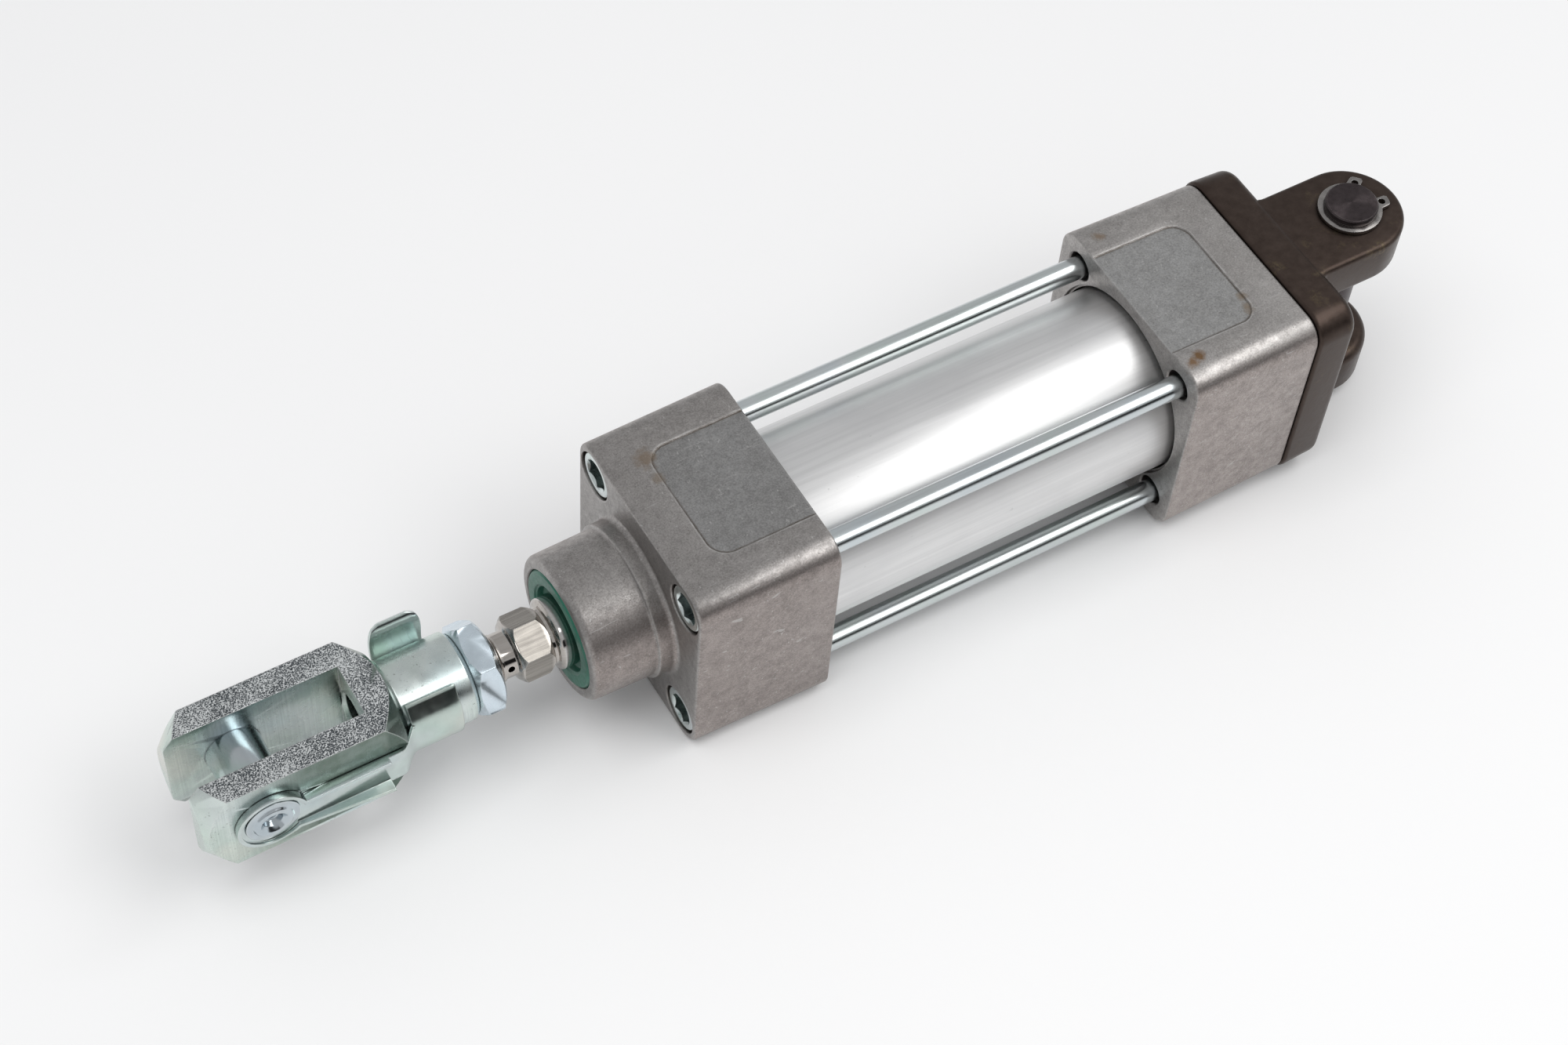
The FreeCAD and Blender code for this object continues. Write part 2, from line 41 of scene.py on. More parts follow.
# ------------------------------------------------------------------ sizes shared with the solids (mm)
CAP_L, XR, XE = 33.0, 122.0, 155.0
CAP_IN, CAP_OUT, CAP_RC = 26.2, 25.7, 5.5
TG = 19.0
NOSE_L, NOSE_R, PILOT_R = 18.8, 16.7, 17.42
TUBE_R, BORE_R = 21.6, 20.0
FL_T, FL_H = 10.6, 26.2
XP = XE + 26.5
EAR_IN, EAR_OUT, EAR_R = 14.0, 25.6, 12.4
X_JAM = -35.3
X_NECK = X_JAM - 6.0
X_FPIN = X_NECK - 48.0
X_TIP = X_FPIN - 14.0
X_SH = X_FPIN + 24.0
NECK_R = 9.8
SLOT = 6.2


# ------------------------------------------------------------------ mesh helpers (millimetres)
def make(name, verts, faces, angle=32.0):
    me = bpy.data.meshes.new(name)
    me.from_pydata(verts, [], faces)
    me.update()
    ob = bpy.data.objects.new(name, me)
    bpy.context.scene.collection.objects.link(ob)
    fix_normals(ob)
    shade(ob, angle)
    return ob


def fix_normals(ob):
    bm = bmesh.new()
    bm.from_mesh(ob.data)
    bmesh.ops.remove_doubles(bm, verts=bm.verts, dist=1e-4)
    bmesh.ops.recalc_face_normals(bm, faces=bm.faces)
    bm.to_mesh(ob.data)
    bm.free()


def shade(ob, angle=32.0):
    me = ob.data
    me.polygons.foreach_set("use_smooth", [True] * len(me.polygons))
    me.set_sharp_from_angle(angle=math.radians(angle))
    me.update()


def bake(ob, angle=32.0):
    """Turns the modifiers of an object into its mesh."""
    dg = bpy.context.evaluated_depsgraph_get()
    dg.update()
    me = bpy.data.meshes.new_from_object(ob.evaluated_get(dg))
    ob.modifiers.clear()
    old = ob.data
    ob.data = me
    if old.users == 0:
        bpy.data.meshes.remove(old)
    shade(ob, angle)
    return ob


def drop(ob):
    me = ob.data
    bpy.data.objects.remove(ob)
    if me.users == 0:
        bpy.data.meshes.remove(me)


def boo(ob, others, op="DIFFERENCE", angle=32.0):
    for c in others:
        m = ob.modifiers.new("b", "BOOLEAN")
        m.operation = op
        m.solver = "MANIFOLD"
        m.object = c
    bake(ob, angle)
    for c in others:
        drop(c)
    return ob


def soften(ob, width, seg=2, limit=38.0, angle=32.0):
    m = ob.modifiers.new("v", "BEVEL")
    m.width = width
    m.segments = seg
    m.limit_method = "ANGLE"
    m.angle_limit = math.radians(limit)
    m.use_clamp_overlap = True
    m.harden_normals = False
    bake(ob, angle)
    return ob


def arcs(pts, closed=True, n=5):
    """Rounds the corners of an outline of (a, b) or (a, b, radius)."""
    out = []
    k = len(pts)
    for i, p in enumerate(pts):
        r = p[2] if len(p) > 2 else 0.0
        p0 = Vector(p[:2])
        if r <= 0 or (not closed and i in (0, k - 1)):
            out.append(tuple(p0))
            continue
        a = (Vector(pts[i - 1][:2]) - p0)
        b = (Vector(pts[(i + 1) % k][:2]) - p0)
        la, lb = a.length, b.length
        a.normalize()
        b.normalize()
        ang = a.angle(b)
        if ang > PI - 1e-3:
            out.append(tuple(p0))
            continue
        t = min(r / math.tan(ang / 2), la * 0.49, lb * 0.49)
        rr = t * math.tan(ang / 2)
        c = p0 + (a + b).normalized() * (rr / math.sin(ang / 2))
        s, e = p0 + a * t - c, p0 + b * t - c
        turn = math.atan2(s.x * e.y - s.y * e.x, s.dot(e))
        a0 = math.atan2(s.y, s.x)
        for j in range(n + 1):
            q = a0 + turn * j / n
            out.append((c.x + rr * math.cos(q), c.y + rr * math.sin(q)))
    return out


def lathe(name, prof, axis="X", at=(0, 0, 0), seg=96, n=5, angle=32.0, closed=True):
    """Turned piece. prof is (along, radius[, fillet]); points on the axis have radius 0."""
    pr = arcs(prof, closed, n)
    verts, rings = [], []
    for a, r in pr:
        if r < 1e-6:
            rings.append([len(verts)])
            verts.append((a, 0.0, 0.0))
        else:
            ring = []
            for i in range(seg):
                t = 2 * PI * i / seg
                ring.append(len(verts))
                verts.append((a, r * math.cos(t), r * math.sin(t)))
            rings.append(ring)
    faces = []
    k = len(rings)
    for j in range(k if closed else k - 1):
        p, q = rings[j], rings[(j + 1) % k]
        if len(p) == 1 and len(q) == 1:
            continue
        for i in range(seg):
            i2 = (i + 1) % seg
            if len(p) == 1:
                faces.append((p[0], q[i], q[i2]))
            elif len(q) == 1:
                faces.append((p[i], q[0], p[i2]))
            else:
                faces.append((p[i], q[i], q[i2], p[i2]))
    if axis == "Y":
        verts = [(y, x, z) for x, y, z in verts]
    elif axis == "Z":
        verts = [(y, z, x) for x, y, z in verts]
    verts = [(x + at[0], y + at[1], z + at[2]) for x, y, z in verts]
    return make(name, verts, faces, angle)


def loft(name, rings, angle=32.0, caps=True):
    """Closed skin over rings with equal point counts."""
    verts, faces = [], []
    n = len(rings[0])
    for r in rings:
        verts += r
    for j in range(len(rings) - 1):
        for i in range(n):
            i2 = (i + 1) % n
            faces.append((j * n + i, (j + 1) * n + i, (j + 1) * n + i2, j * n + i2))
    if caps:
        faces.append(tuple(range(n - 1, -1, -1)))
        faces.append(tuple(range((len(rings) - 1) * n, len(rings) * n)))
    else:
        j = len(rings) - 1
        for i in range(n):
            i2 = (i + 1) % n
            faces.append((j * n + i, i, i2, j * n + i2))
    return make(name, verts, faces, angle)


def offset(poly, d):
    """Moves a closed outline in by d (out when negative)."""
    n = len(poly)
    area = sum(poly[i][0] * poly[(i + 1) % n][1] - poly[(i + 1) % n][0] * poly[i][1] for i in range(n))
    s = 1.0 if area > 0 else -1.0
    out = []
    for i in range(n):
        a, b, c = Vector(poly[i - 1]), Vector(poly[i]), Vector(poly[(i + 1) % n])
        e1, e2 = (b - a), (c - b)
        if e1.length < 1e-9 or e2.length < 1e-9:
            out.append(tuple(b))
            continue
        n1 = Vector((-e1.y, e1.x)).normalized() * s
        n2 = Vector((-e2.y, e2.x)).normalized() * s
        m = n1 + n2
        if m.length < 1e-6:
            m = n1
        m.normalize()
        k = max(0.35, m.dot(n1))
        q = b + m * (d / k)
        out.append((q.x, q.y))
    return out


def place(axis, u, v, h):
    """Outline point (u, v) at height h along an axis."""
    if axis == "X":
        return (h, u, v)
    if axis == "Y":
        return (u, h, v)
    return (u, v, h)


def prism(name, poly, axis, h0, h1, e0=0.0, e1=0.0, n=3, angle=32.0):
    """Extruded outline with rounded end edges e0 and e1."""
    rings = []
    lo = [(h0 + e0 * (1 - math.cos(t)), e0 * (1 - math.sin(t))) for t in [PI / 2 * i / n for i in range(n + 1)]] if e0 > 0 else [(h0, 0.0)]
    hi = [(h1 - e1 * (1 - math.cos(t)), e1 * (1 - math.sin(t))) for t in [PI / 2 * i / n for i in range(n, -1, -1)]] if e1 > 0 else [(h1, 0.0)]
    for h, d in lo + hi:
        rings.append([place(axis, u, v, h) for u, v in (offset(poly, d) if d > 1e-6 else poly)])
    return loft(name, rings, angle)


def rsq(h, rc, n=10):
    pts = []
    for sy, sz, t0 in ((1, 1, 0), (-1, 1, 90), (-1, -1, 180), (1, -1, 270)):
        for i in range(n + 1):
            t = math.radians(t0 + 90.0 * i / n)
            pts.append((sy * (h - rc) + rc * math.cos(t), sz * (h - rc) + rc * math.sin(t)))
    return pts


def block(name, x0, h0, x1, h1, rc, e0, e1, n=4):
    """Drafted rounded-square block along X with rounded end edges."""
    rings = []

    def ring(x, inset):
        h = h0 + (h1 - h0) * (x - x0) / (x1 - x0)
        rings.append([(x, u, v) for u, v in rsq(h - inset, max(rc - inset, 0.5))])

    for i in range(n + 1):
        t = PI / 2 * i / n
        ring(x0 + e0 * (1 - math.cos(t)), e0 * (1 - math.sin(t)))
    for i in range(n, -1, -1):
        t = PI / 2 * i / n
        ring(x1 - e1 * (1 - math.cos(t)), e1 * (1 - math.sin(t)))
    return loft(name, rings)


def ngon(r, n, turn=0.0, cu=0.0, cv=0.0):
    return [(cu + r * math.cos(2 * PI * i / n + turn), cv + r * math.sin(2 * PI * i / n + turn)) for i in range(n)]


def rod_cut(x0, x1, r, y=0.0, z=0.0, seg=64):
    return lathe("c", [(x0, 0), (x0, r), (x1, r), (x1, 0)], "X", (0, y, z), seg, closed=False)


def cutter(axis, h0, h1, r, u=0.0, v=0.0, seg=64):
    at = {"X": (0, u, v), "Y": (u, 0, v), "Z": (u, v, 0)}[axis]
    return lathe("c", [(h0, 0), (h0, r), (h1, r), (h1, 0)], axis, at, seg, closed=False)


def cbox(x0, x1, y0, y1, z0, z1):
    v = [(x, y, z) for x in (x0, x1) for y in (y0, y1) for z in (z0, z1)]
    f = [(0, 1, 3, 2), (4, 6, 7, 5), (0, 4, 5, 1), (2, 3, 7, 6), (0, 2, 6, 4), (1, 5, 7, 3)]
    return make("c", v, f)


def thread(name, x0, x1, r_out, r_in, pitch, seg=64, per=8, y=0.0, z=0.0, runout=1.0, cap0=True, cap1=True, inner=None):
    """Solid screw thread as one helical skin from x0 to x1."""
    nx = max(4, int(round((x1 - x0) / pitch * per)))
    verts, faces = [], []
    for j in range(nx + 1):
        x = x0 + (x1 - x0) * j / nx
        fade = min(1.0, (x - x0) / (runout * pitch) + 0.05, (x1 - x) / (runout * pitch) + 0.05)
        for i in range(seg):
            t = 2 * PI * i / seg
            ph = (x / pitch + i / seg) % 1.0
            w = abs(2 * ph - 1.0)
            w = min(1.0, max(0.0, (w - 0.10) / 0.76))
            r = r_in + (r_out - r_in) * w
            if cap0 and cap1:
                r = r_in + (r - r_in) * max(0.0, fade)
            verts.append((x, y + r * math.cos(t), z + r * math.sin(t)))
    for j in range(nx):
        for i in range(seg):
            i2 = (i + 1) % seg
            faces.append((j * seg + i, (j + 1) * seg + i, (j + 1) * seg + i2, j * seg + i2))
    if inner is None:
        a, b = len(verts), len(verts) + 1
        verts += [(x0, y, z), (x1, y, z)]
        for i in range(seg):
            i2 = (i + 1) % seg
            faces.append((a, i, i2))
            faces.append((b, nx * seg + i2, nx * seg + i))
    else:
        a = len(verts)
        for x in (x0, x1):
            for i in range(seg):
                t = 2 * PI * i / seg
                verts.append((x, y + inner * math.cos(t), z + inner * math.sin(t)))
        for i in range(seg):
            i2 = (i + 1) % seg
            faces.append((i, i2, a + i2, a + i))
            faces.append((nx * seg + i2, nx * seg + i, a + seg + i, a + seg + i2))
            faces.append((a + i, a + i2, a + seg + i2, a + seg + i))
    return make(name, verts, faces, 50.0)


def join(name, obs, angle=32.0):
    """Several closed shells as one object."""
    bm = bmesh.new()
    for o in obs:
        bm.from_mesh(o.data)
    me = bpy.data.meshes.new(name)
    bm.to_mesh(me)
    bm.free()
    ob = bpy.data.objects.new(name, me)
    bpy.context.scene.collection.objects.link(ob)
    for o in obs:
        drop(o)
    shade(ob, angle)
    return ob


def metres(ob):
    """Meshes are modelled in millimetres and brought to metres at the end."""
    ob.data.transform(Matrix.Scale(MM, 4))
    ob.data.update()


def part(ob, name, body, mat, replaces):
    metres(ob)
    ob.name = name
    ob.data.name = name
    ob.data.materials.clear()
    ob.data.materials.append(mat)
    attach(ob, body)
    if replaces:
        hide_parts(*replaces)
    return ob


# ------------------------------------------------------------------ materials
class Mat:
    def __init__(self, name):
        self.m = bpy.data.materials.new(name)
        self.m.use_nodes = True
        self.t = self.m.node_tree
        self.t.nodes.clear()
        self.out = self.t.nodes.new("ShaderNodeOutputMaterial")
        self.b = self.t.nodes.new("ShaderNodeBsdfPrincipled")
        self.link(self.b.outputs[0], self.out.inputs[0])
        self.co = self.t.nodes.new("ShaderNodeTexCoord")

    def link(self, a, b):
        self.t.links.new(a, b)

    def noise(self, scale, detail=3.0, rough=0.55, stretch=(1, 1, 1), dist=0.0, off=(0, 0, 0)):
        mp = self.t.nodes.new("ShaderNodeMapping")
        mp.inputs["Scale"].default_value = stretch
        mp.inputs["Location"].default_value = off
        self.link(self.co.outputs["Object"], mp.inputs["Vector"])
        n = self.t.nodes.new("ShaderNodeTexNoise")
        n.inputs["Scale"].default_value = scale
        n.inputs["Detail"].default_value = detail
        n.inputs["Roughness"].default_value = rough
        n.inputs["Distortion"].default_value = dist
        self.link(mp.outputs[0], n.inputs["Vector"])
        return n.outputs["Fac"]

    def voronoi(self, scale, stretch=(1, 1, 1), feature="F1", rnd=1.0):
        mp = self.t.nodes.new("ShaderNodeMapping")
        mp.inputs["Scale"].default_value = stretch
        self.link(self.co.outputs["Object"], mp.inputs["Vector"])
        n = self.t.nodes.new("ShaderNodeTexVoronoi")
        n.feature = feature
        n.inputs["Scale"].default_value = scale
        n.inputs["Randomness"].default_value = rnd
        self.link(mp.outputs[0], n.inputs["Vector"])
        return n

    def rng(self, src, a, b, c, d, smooth=False):
        n = self.t.nodes.new("ShaderNodeMapRange")
        if smooth:
            n.interpolation_type = "SMOOTHSTEP"
        n.clamp = True
        for i, v in zip((1, 2, 3, 4), (a, b, c, d)):
            n.inputs[i].default_value = v
        self.link(src, n.inputs[0])
        return n.outputs[0]

    def math(self, op, a, b=None, clamp=False):
        n = self.t.nodes.new("ShaderNodeMath")
        n.operation = op
        n.use_clamp = clamp
        for i, v in enumerate((a, b)):
            if v is None:
                continue
            if isinstance(v, (int, float)):
                n.inputs[i].default_value = v
            else:
                self.link(v, n.inputs[i])
        return n.outputs[0]

    def ramp(self, src, stops):
        n = self.t.nodes.new("ShaderNodeValToRGB")
        e = n.color_ramp.elements
        while len(e) > 1:
            e.remove(e[-1])
        e[0].position = stops[0][0]
        e[0].color = (*stops[0][1], 1)
        for p, c in stops[1:]:
            x = e.new(p)
            x.color = (*c, 1)
        self.link(src, n.inputs[0])
        return n.outputs[0]

    def mix(self, fac, a, b, kind="MIX"):
        n = self.t.nodes.new("ShaderNodeMix")
        n.data_type = "RGBA"
        n.blend_type = kind
        for i, v in ((0, fac), (6, a), (7, b)):
            if isinstance(v, (int, float)):
                n.inputs[i].default_value = v
            elif isinstance(v, tuple):
                n.inputs[i].default_value = (*v, 1)
            else:
                self.link(v, n.inputs[i])
        return n.outputs[2]

    def bevel(self, radius, samples=4):
        n = self.t.nodes.new("ShaderNodeBevel")
        n.samples = samples
        n.inputs["Radius"].default_value = radius
        return n.outputs[0]

    def bump(self, height, dist, strength=1.0, normal=None):
        n = self.t.nodes.new("ShaderNodeBump")
        n.inputs["Strength"].default_value = strength
        n.inputs["Distance"].default_value = dist
        self.link(height, n.inputs["Height"])
        if normal is not None:
            self.link(normal, n.inputs["Normal"])
        return n.outputs[0]

    def normal_axis(self, axis, lo, hi):
        """1 where the surface faces along an object axis."""
        s = self.t.nodes.new("ShaderNodeSeparateXYZ")
        self.link(self.co.outputs["Normal"], s.inputs[0])
        a = self.math("ABSOLUTE", s.outputs["XYZ".index(axis)])
        return self.rng(a, lo, hi, 0.0, 1.0)

    def where(self, axis):
        s = self.t.nodes.new("ShaderNodeSeparateXYZ")
        self.link(self.co.outputs["Object"], s.inputs[0])
        return s.outputs["XYZ".index(axis)]

    def edges(self, radius, lo=0.02, hi=0.22):
        """1 on sharp edges, 0 on flats."""
        bv = self.bevel(radius, 6)
        g = self.t.nodes.new("ShaderNodeNewGeometry")
        d = self.t.nodes.new("ShaderNodeVectorMath")
        d.operation = "DOT_PRODUCT"
        self.link(bv, d.inputs[0])
        self.link(g.outputs["Normal"], d.inputs[1])
        inv = self.math("SUBTRACT", 1.0, d.outputs["Value"])
        return self.rng(inv, lo, hi, 0.0, 1.0)

    def painted_crease_shade(self, dist, amount):
        """Painted shade in inside corners: a mask from ambient occlusion, up to amount where it is low."""
        n = self.t.nodes.new("ShaderNodeAmbientOcclusion")
        n.samples = 6
        n.inputs["Distance"].default_value = dist
        return self.rng(n.outputs["AO"], 0.45, 0.92, amount, 0.0)

    def set(self, **kw):
        names = {"metallic": "Metallic", "rough": "Roughness", "ior": "IOR", "spec": "Specular IOR Level",
                 "coat": "Coat Weight", "coat_rough": "Coat Roughness", "aniso": "Anisotropic", "sheen": "Sheen Weight",
                 "color": "Base Color"}
        for k, v in kw.items():
            s = self.b.inputs[names[k]]
            if isinstance(v, (int, float)):
                s.default_value = v
            elif isinstance(v, tuple):
                s.default_value = (*v, 1)
            else:
                self.link(v, s)
        return self

    def normal(self, n):
        self.link(n, self.b.inputs["Normal"])
        return self


def panel_field(a, cx):
    """Signed distance in metres to the outline of the shallow panel, negative inside."""
    qx = a.math("SUBTRACT", a.math("ABSOLUTE", a.math("SUBTRACT", a.where("X"), cx * MM)), (25.2 - 4.5) * MM)
    qy = a.math("SUBTRACT", a.math("ABSOLUTE", a.where("Y")), (15.2 - 4.5) * MM)
    px, py = a.math("MAXIMUM", qx, 0.0), a.math("MAXIMUM", qy, 0.0)
    d = a.math("SQRT", a.math("ADD", a.math("MULTIPLY", px, px), a.math("MULTIPLY", py, py)))
    d = a.math("ADD", d, a.math("MINIMUM", a.math("MAXIMUM", qx, qy), 0.0))
    return a.math("SUBTRACT", d, 4.5 * MM)


def cast_mat(name, off, stains, base=(0.33, 0.315, 0.306), panel_x=34.8, line=1.0):
    """Tumbled die-cast aluminium: warm grey, mottled, fine grain, small bright nicks."""
    a = Mat(name)
    big = a.noise(90, 4, 0.6, off=off)
    mid = a.noise(520, 5, 0.62, off=off)
    fine = a.noise(2600, 3, 0.6)
    col = a.ramp(mid, [(0.32, tuple(x * 0.85 for x in base)), (0.50, base), (0.70, tuple(x * 1.13 for x in base))])
    col = a.mix(1.0, col, a.ramp(fine, [(0.34, (0.82, 0.815, 0.81)), (0.50, (1.0, 1.0, 1.0)), (0.64, (1.16, 1.16, 1.16))]), "MULTIPLY")
    # painted shade: faces turned to the sides (along Y) are darkened and warmed
    col = a.mix(a.normal_axis("Y", 0.5, 0.85), col, (0.93, 0.865, 0.845), "MULTIPLY")
    tone = a.ramp(big, [(0.35, (0.93, 0.925, 0.92)), (0.62, (1.03, 1.03, 1.03))])
    col = a.mix(1.0, col, tone, "MULTIPLY")
    # shallow panel on top: cooler floor, painted shade as a dark line along its foot, painted highlight as a bright
    # line along its lip
    fz = a.where("Z")
    topm = a.math("MULTIPLY", a.rng(fz, 0.0250, 0.0252, 0.0, 1.0), a.normal_axis("Z", 0.55, 0.7))
    sd = panel_field(a, panel_x)
    wob = a.math("MULTIPLY", a.math("SUBTRACT", a.noise(900, 3, 0.6), 0.5), 0.00022)
    sw = a.math("ADD", sd, wob)
    floor = a.math("MULTIPLY", a.rng(sd, -0.0002, 0.0, 1.0, 0.0), topm)
    col = a.mix(floor, col, (0.93, 0.965, 0.985), "MULTIPLY")
    # painted shade: dark line in the crease at the foot of the step
    foot_shade = a.math("MULTIPLY", a.rng(sw, -0.00050, -0.00012, 0.0, 1.0), a.rng(sw, 0.00004, 0.00016, 1.0, 0.0))
    foot_shade = a.math("MULTIPLY", foot_shade, a.math("MULTIPLY", topm, a.rng(a.noise(170, 2), 0.36, 0.58, line * 0.45, line)))
    col = a.mix(foot_shade, col, (0.085, 0.066, 0.048))
    # painted highlight: bright line along the lip of the step
    lip = a.math("MULTIPLY", a.rng(sw, 0.00010, 0.00020, 0.0, 1.0), a.rng(sw, 0.00034, 0.00058, 1.0, 0.0))
    lip = a.math("MULTIPLY", lip, a.math("MULTIPLY", topm, a.rng(a.noise(210, 2, off=(4, 4, 4)), 0.40, 0.60, 0.10, 0.65)))
    col = a.mix(lip, col, (0.60, 0.59, 0.575))
    # dark cast pits
    pit = a.rng(a.voronoi(1500).outputs["Distance"], 0.10, 0.20, 1.0, 0.0)
    pit = a.math("MULTIPLY", pit, a.rng(a.noise(240, 2), 0.50, 0.64, 0.0, 0.75))
    col = a.mix(pit, col, (0.12, 0.11, 0.105))
    # bright nicks, thickest on the edges
    nick = a.rng(a.noise(1500, 2, 0.5, stretch=(1, 0.55, 1), off=(3, 1, 2)), 0.69, 0.72, 0.0, 1.0)
    edge = a.math("MULTIPLY", a.edges(0.0011), a.rng(a.noise(330, 3, 0.7), 0.40, 0.62, 0.25, 1.0))
    bright = a.math("MAXIMUM", a.math("MULTIPLY", nick, 0.45), a.math("MULTIPLY", edge, 0.8), True)
    col = a.mix(bright, col, (0.62, 0.61, 0.60))
    # scratches
    scr = a.rng(a.noise(60, 2, 0.5, stretch=(3.0, 60.0, 10.0), dist=0.6), 0.69, 0.715, 0.0, 0.5)
    col = a.mix(scr, col, (0.56, 0.55, 0.54))
    for (x, y, z), rad, c, amt in stains:
        v = a.t.nodes.new("ShaderNodeVectorMath")
        v.operation = "DISTANCE"
        a.link(a.co.outputs["Object"], v.inputs[0])
        v.inputs[1].default_value = (x * MM, y * MM, z * MM)
        d = a.math("ADD", v.outputs["Value"], a.math("MULTIPLY", a.math("SUBTRACT", a.noise(700, 4), 0.5), rad * MM * 1.4))
        f = a.rng(d, rad * MM * 0.35, rad * MM, amt, 0.0)
        col = a.mix(f, col, c)
    # painted shade: dark brown in inside corners and gaps
    col = a.mix(a.painted_crease_shade(0.0007, 0.75), col, (0.075, 0.062, 0.050))
    rgh = a.rng(mid, 0.3, 0.72, 0.43, 0.31)
    rgh = a.math("SUBTRACT", rgh, a.math("MULTIPLY", bright, 0.10))
    h = a.math("ADD", a.math("MULTIPLY", fine, 0.5), mid)
    n = a.bump(h, 0.00007, 0.55, a.bevel(0.00045))
    n = a.bump(pit, -0.00004, 0.6, n)
    a.set(color=col, rough=rgh, metallic=0.92)
    a.normal(n)
    return a.m


def zinc(name, base=(0.62, 0.65, 0.66), rough=(0.20, 0.34), tint=0.35, streak=(1, 1, 1), bevel=0.00025, bump=0.00002, scale=600, wear=0.45):
    """Bright zinc with faint blue, green and straw patches."""
    a = Mat(name)
    n1 = a.noise(scale, 4, 0.6, stretch=streak)
    n2 = a.noise(60, 2, 0.5, off=(0.3, 0.1, 0.7))
    tints = a.ramp(n2, [(0.30, (0.68, 0.82, 0.90)), (0.45, (0.90, 0.95, 0.94)), (0.58, (0.74, 0.92, 0.80)), (0.72, (0.97, 0.94, 0.82))])
    c = a.ramp(n1, [(0.32, tuple(x * 0.90 for x in base)), (0.68, tuple(min(1, x * 1.06) for x in base))])
    c = a.mix(tint, c, tints, "MULTIPLY")
    e = a.math("MULTIPLY", a.edges(0.0005), wear)
    c = a.mix(e, c, (0.88, 0.89, 0.88))
    a.set(color=c, rough=a.rng(n1, 0.3, 0.7, rough[0], rough[1]), metallic=1.0)
    a.normal(a.bump(n1, bump, 0.6, a.bevel(bevel)))
    return a.m


def fork_mat():
    """Zinc plated fork: sawn and blasted flats up and down, milled slot walls, smooth turned ends."""
    a = Mat("fork zinc")
    nz = a.math("MULTIPLY", a.normal_axis("Z", 0.965, 0.99), a.rng(a.math("ABSOLUTE", a.where("Z")), 0.0114, 0.0117, 0.0, 1.0))
    ny = a.normal_axis("Y", 0.965, 0.99)
    n1 = a.noise(260, 3, 0.55)
    n2 = a.noise(48, 2, 0.5, off=(0.2, 0.6, 0.1))
    mill = a.noise(900, 2, 0.5, stretch=(3.2, 0.2, 0.05))
    tints = a.ramp(n2, [(0.30, (0.74, 0.87, 0.90)), (0.46, (0.90, 0.96, 0.95)), (0.58, (0.82, 0.93, 0.86)), (0.72, (0.97, 0.95, 0.86))])
    smooth = a.ramp(n1, [(0.32, (0.66, 0.69, 0.68)), (0.68, (0.75, 0.78, 0.765))])
    lines = a.math("MULTIPLY", a.rng(mill, 0.35, 0.65, 0.0, 0.30), ny)
    smooth = a.mix(lines, smooth, (0.40, 0.43, 0.43))
    smooth = a.mix(0.8, smooth, tints, "MULTIPLY")
    shade_y = a.math("MULTIPLY", a.math("MULTIPLY", ny, a.rng(a.where("Y"), -0.0119, -0.0117, 1.0, 0.0)), a.rng(a.where("X"), -0.098, -0.080, 0.0, 0.88))
    shade_y = a.math("MULTIPLY", shade_y, a.rng(n1, 0.35, 0.6, 0.85, 1.0))
    smooth = a.mix(shade_y, smooth, (0.075, 0.115, 0.082))
    # painted reflection: the cone between the body and the neck is darkened to a dark green
    cone = a.math("MULTIPLY", a.rng(a.where("X"), (X_SH + 1.5) * MM, (X_SH + 2.6) * MM, 0.0, 0.75), a.rng(a.where("X"), (X_SH + 6.6) * MM, (X_SH + 8.2) * MM, 1.0, 0.0))
    smooth = a.mix(cone, smooth, (0.070, 0.110, 0.088))
    speck = a.rng(a.noise(1300, 2, 0.6, off=(5, 5, 5)), 0.66, 0.72, 0.0, 0.55)
    smooth = a.mix(speck, smooth, (0.20, 0.21, 0.20))
    g = a.voronoi(3600)
    g2 = a.noise(3100, 3, 0.7)
    grain = a.math("ADD", a.math("MULTIPLY", g.outputs["Distance"], 0.6), g2)
    patch = a.rng(a.noise(140, 3, 0.6, off=(7, 1, 0)), 0.35, 0.65, -0.05, 0.07)
    gc = a.ramp(a.math("ADD", grain, patch), [(0.58, (0.040, 0.048, 0.056)), (0.73, (0.155, 0.170, 0.180)), (0.84, (0.36, 0.38, 0.385)), (0.93, (0.92, 0.95, 0.95))])
    col = a.mix(nz, smooth, gc)
    # painted shade: darker in inside corners
    col = a.mix(a.painted_crease_shade(0.0006, 0.5), col, (0.06, 0.07, 0.065))
    e = a.math("MULTIPLY", a.edges(0.0005), 0.6)
    col = a.mix(e, col, (0.88, 0.90, 0.89))
    rs = a.rng(n1, 0.3, 0.7, 0.22, 0.32)
    rr = a.rng(grain, 0.6, 1.0, 0.46, 0.22)
    r = a.t.nodes.new("ShaderNodeMix")
    a.link(nz, r.inputs[0])
    a.link(rs, r.inputs[2])
    a.link(rr, r.inputs[3])
    a.set(color=col, rough=r.outputs[0], metallic=1.0)
    n = a.bump(a.math("MULTIPLY", mill, ny), 0.000016, 0.4, a.bevel(0.0003))
    n = a.bump(a.math("MULTIPLY", grain, nz), 0.00011, 0.75, n)
    a.normal(n)
    return a.m


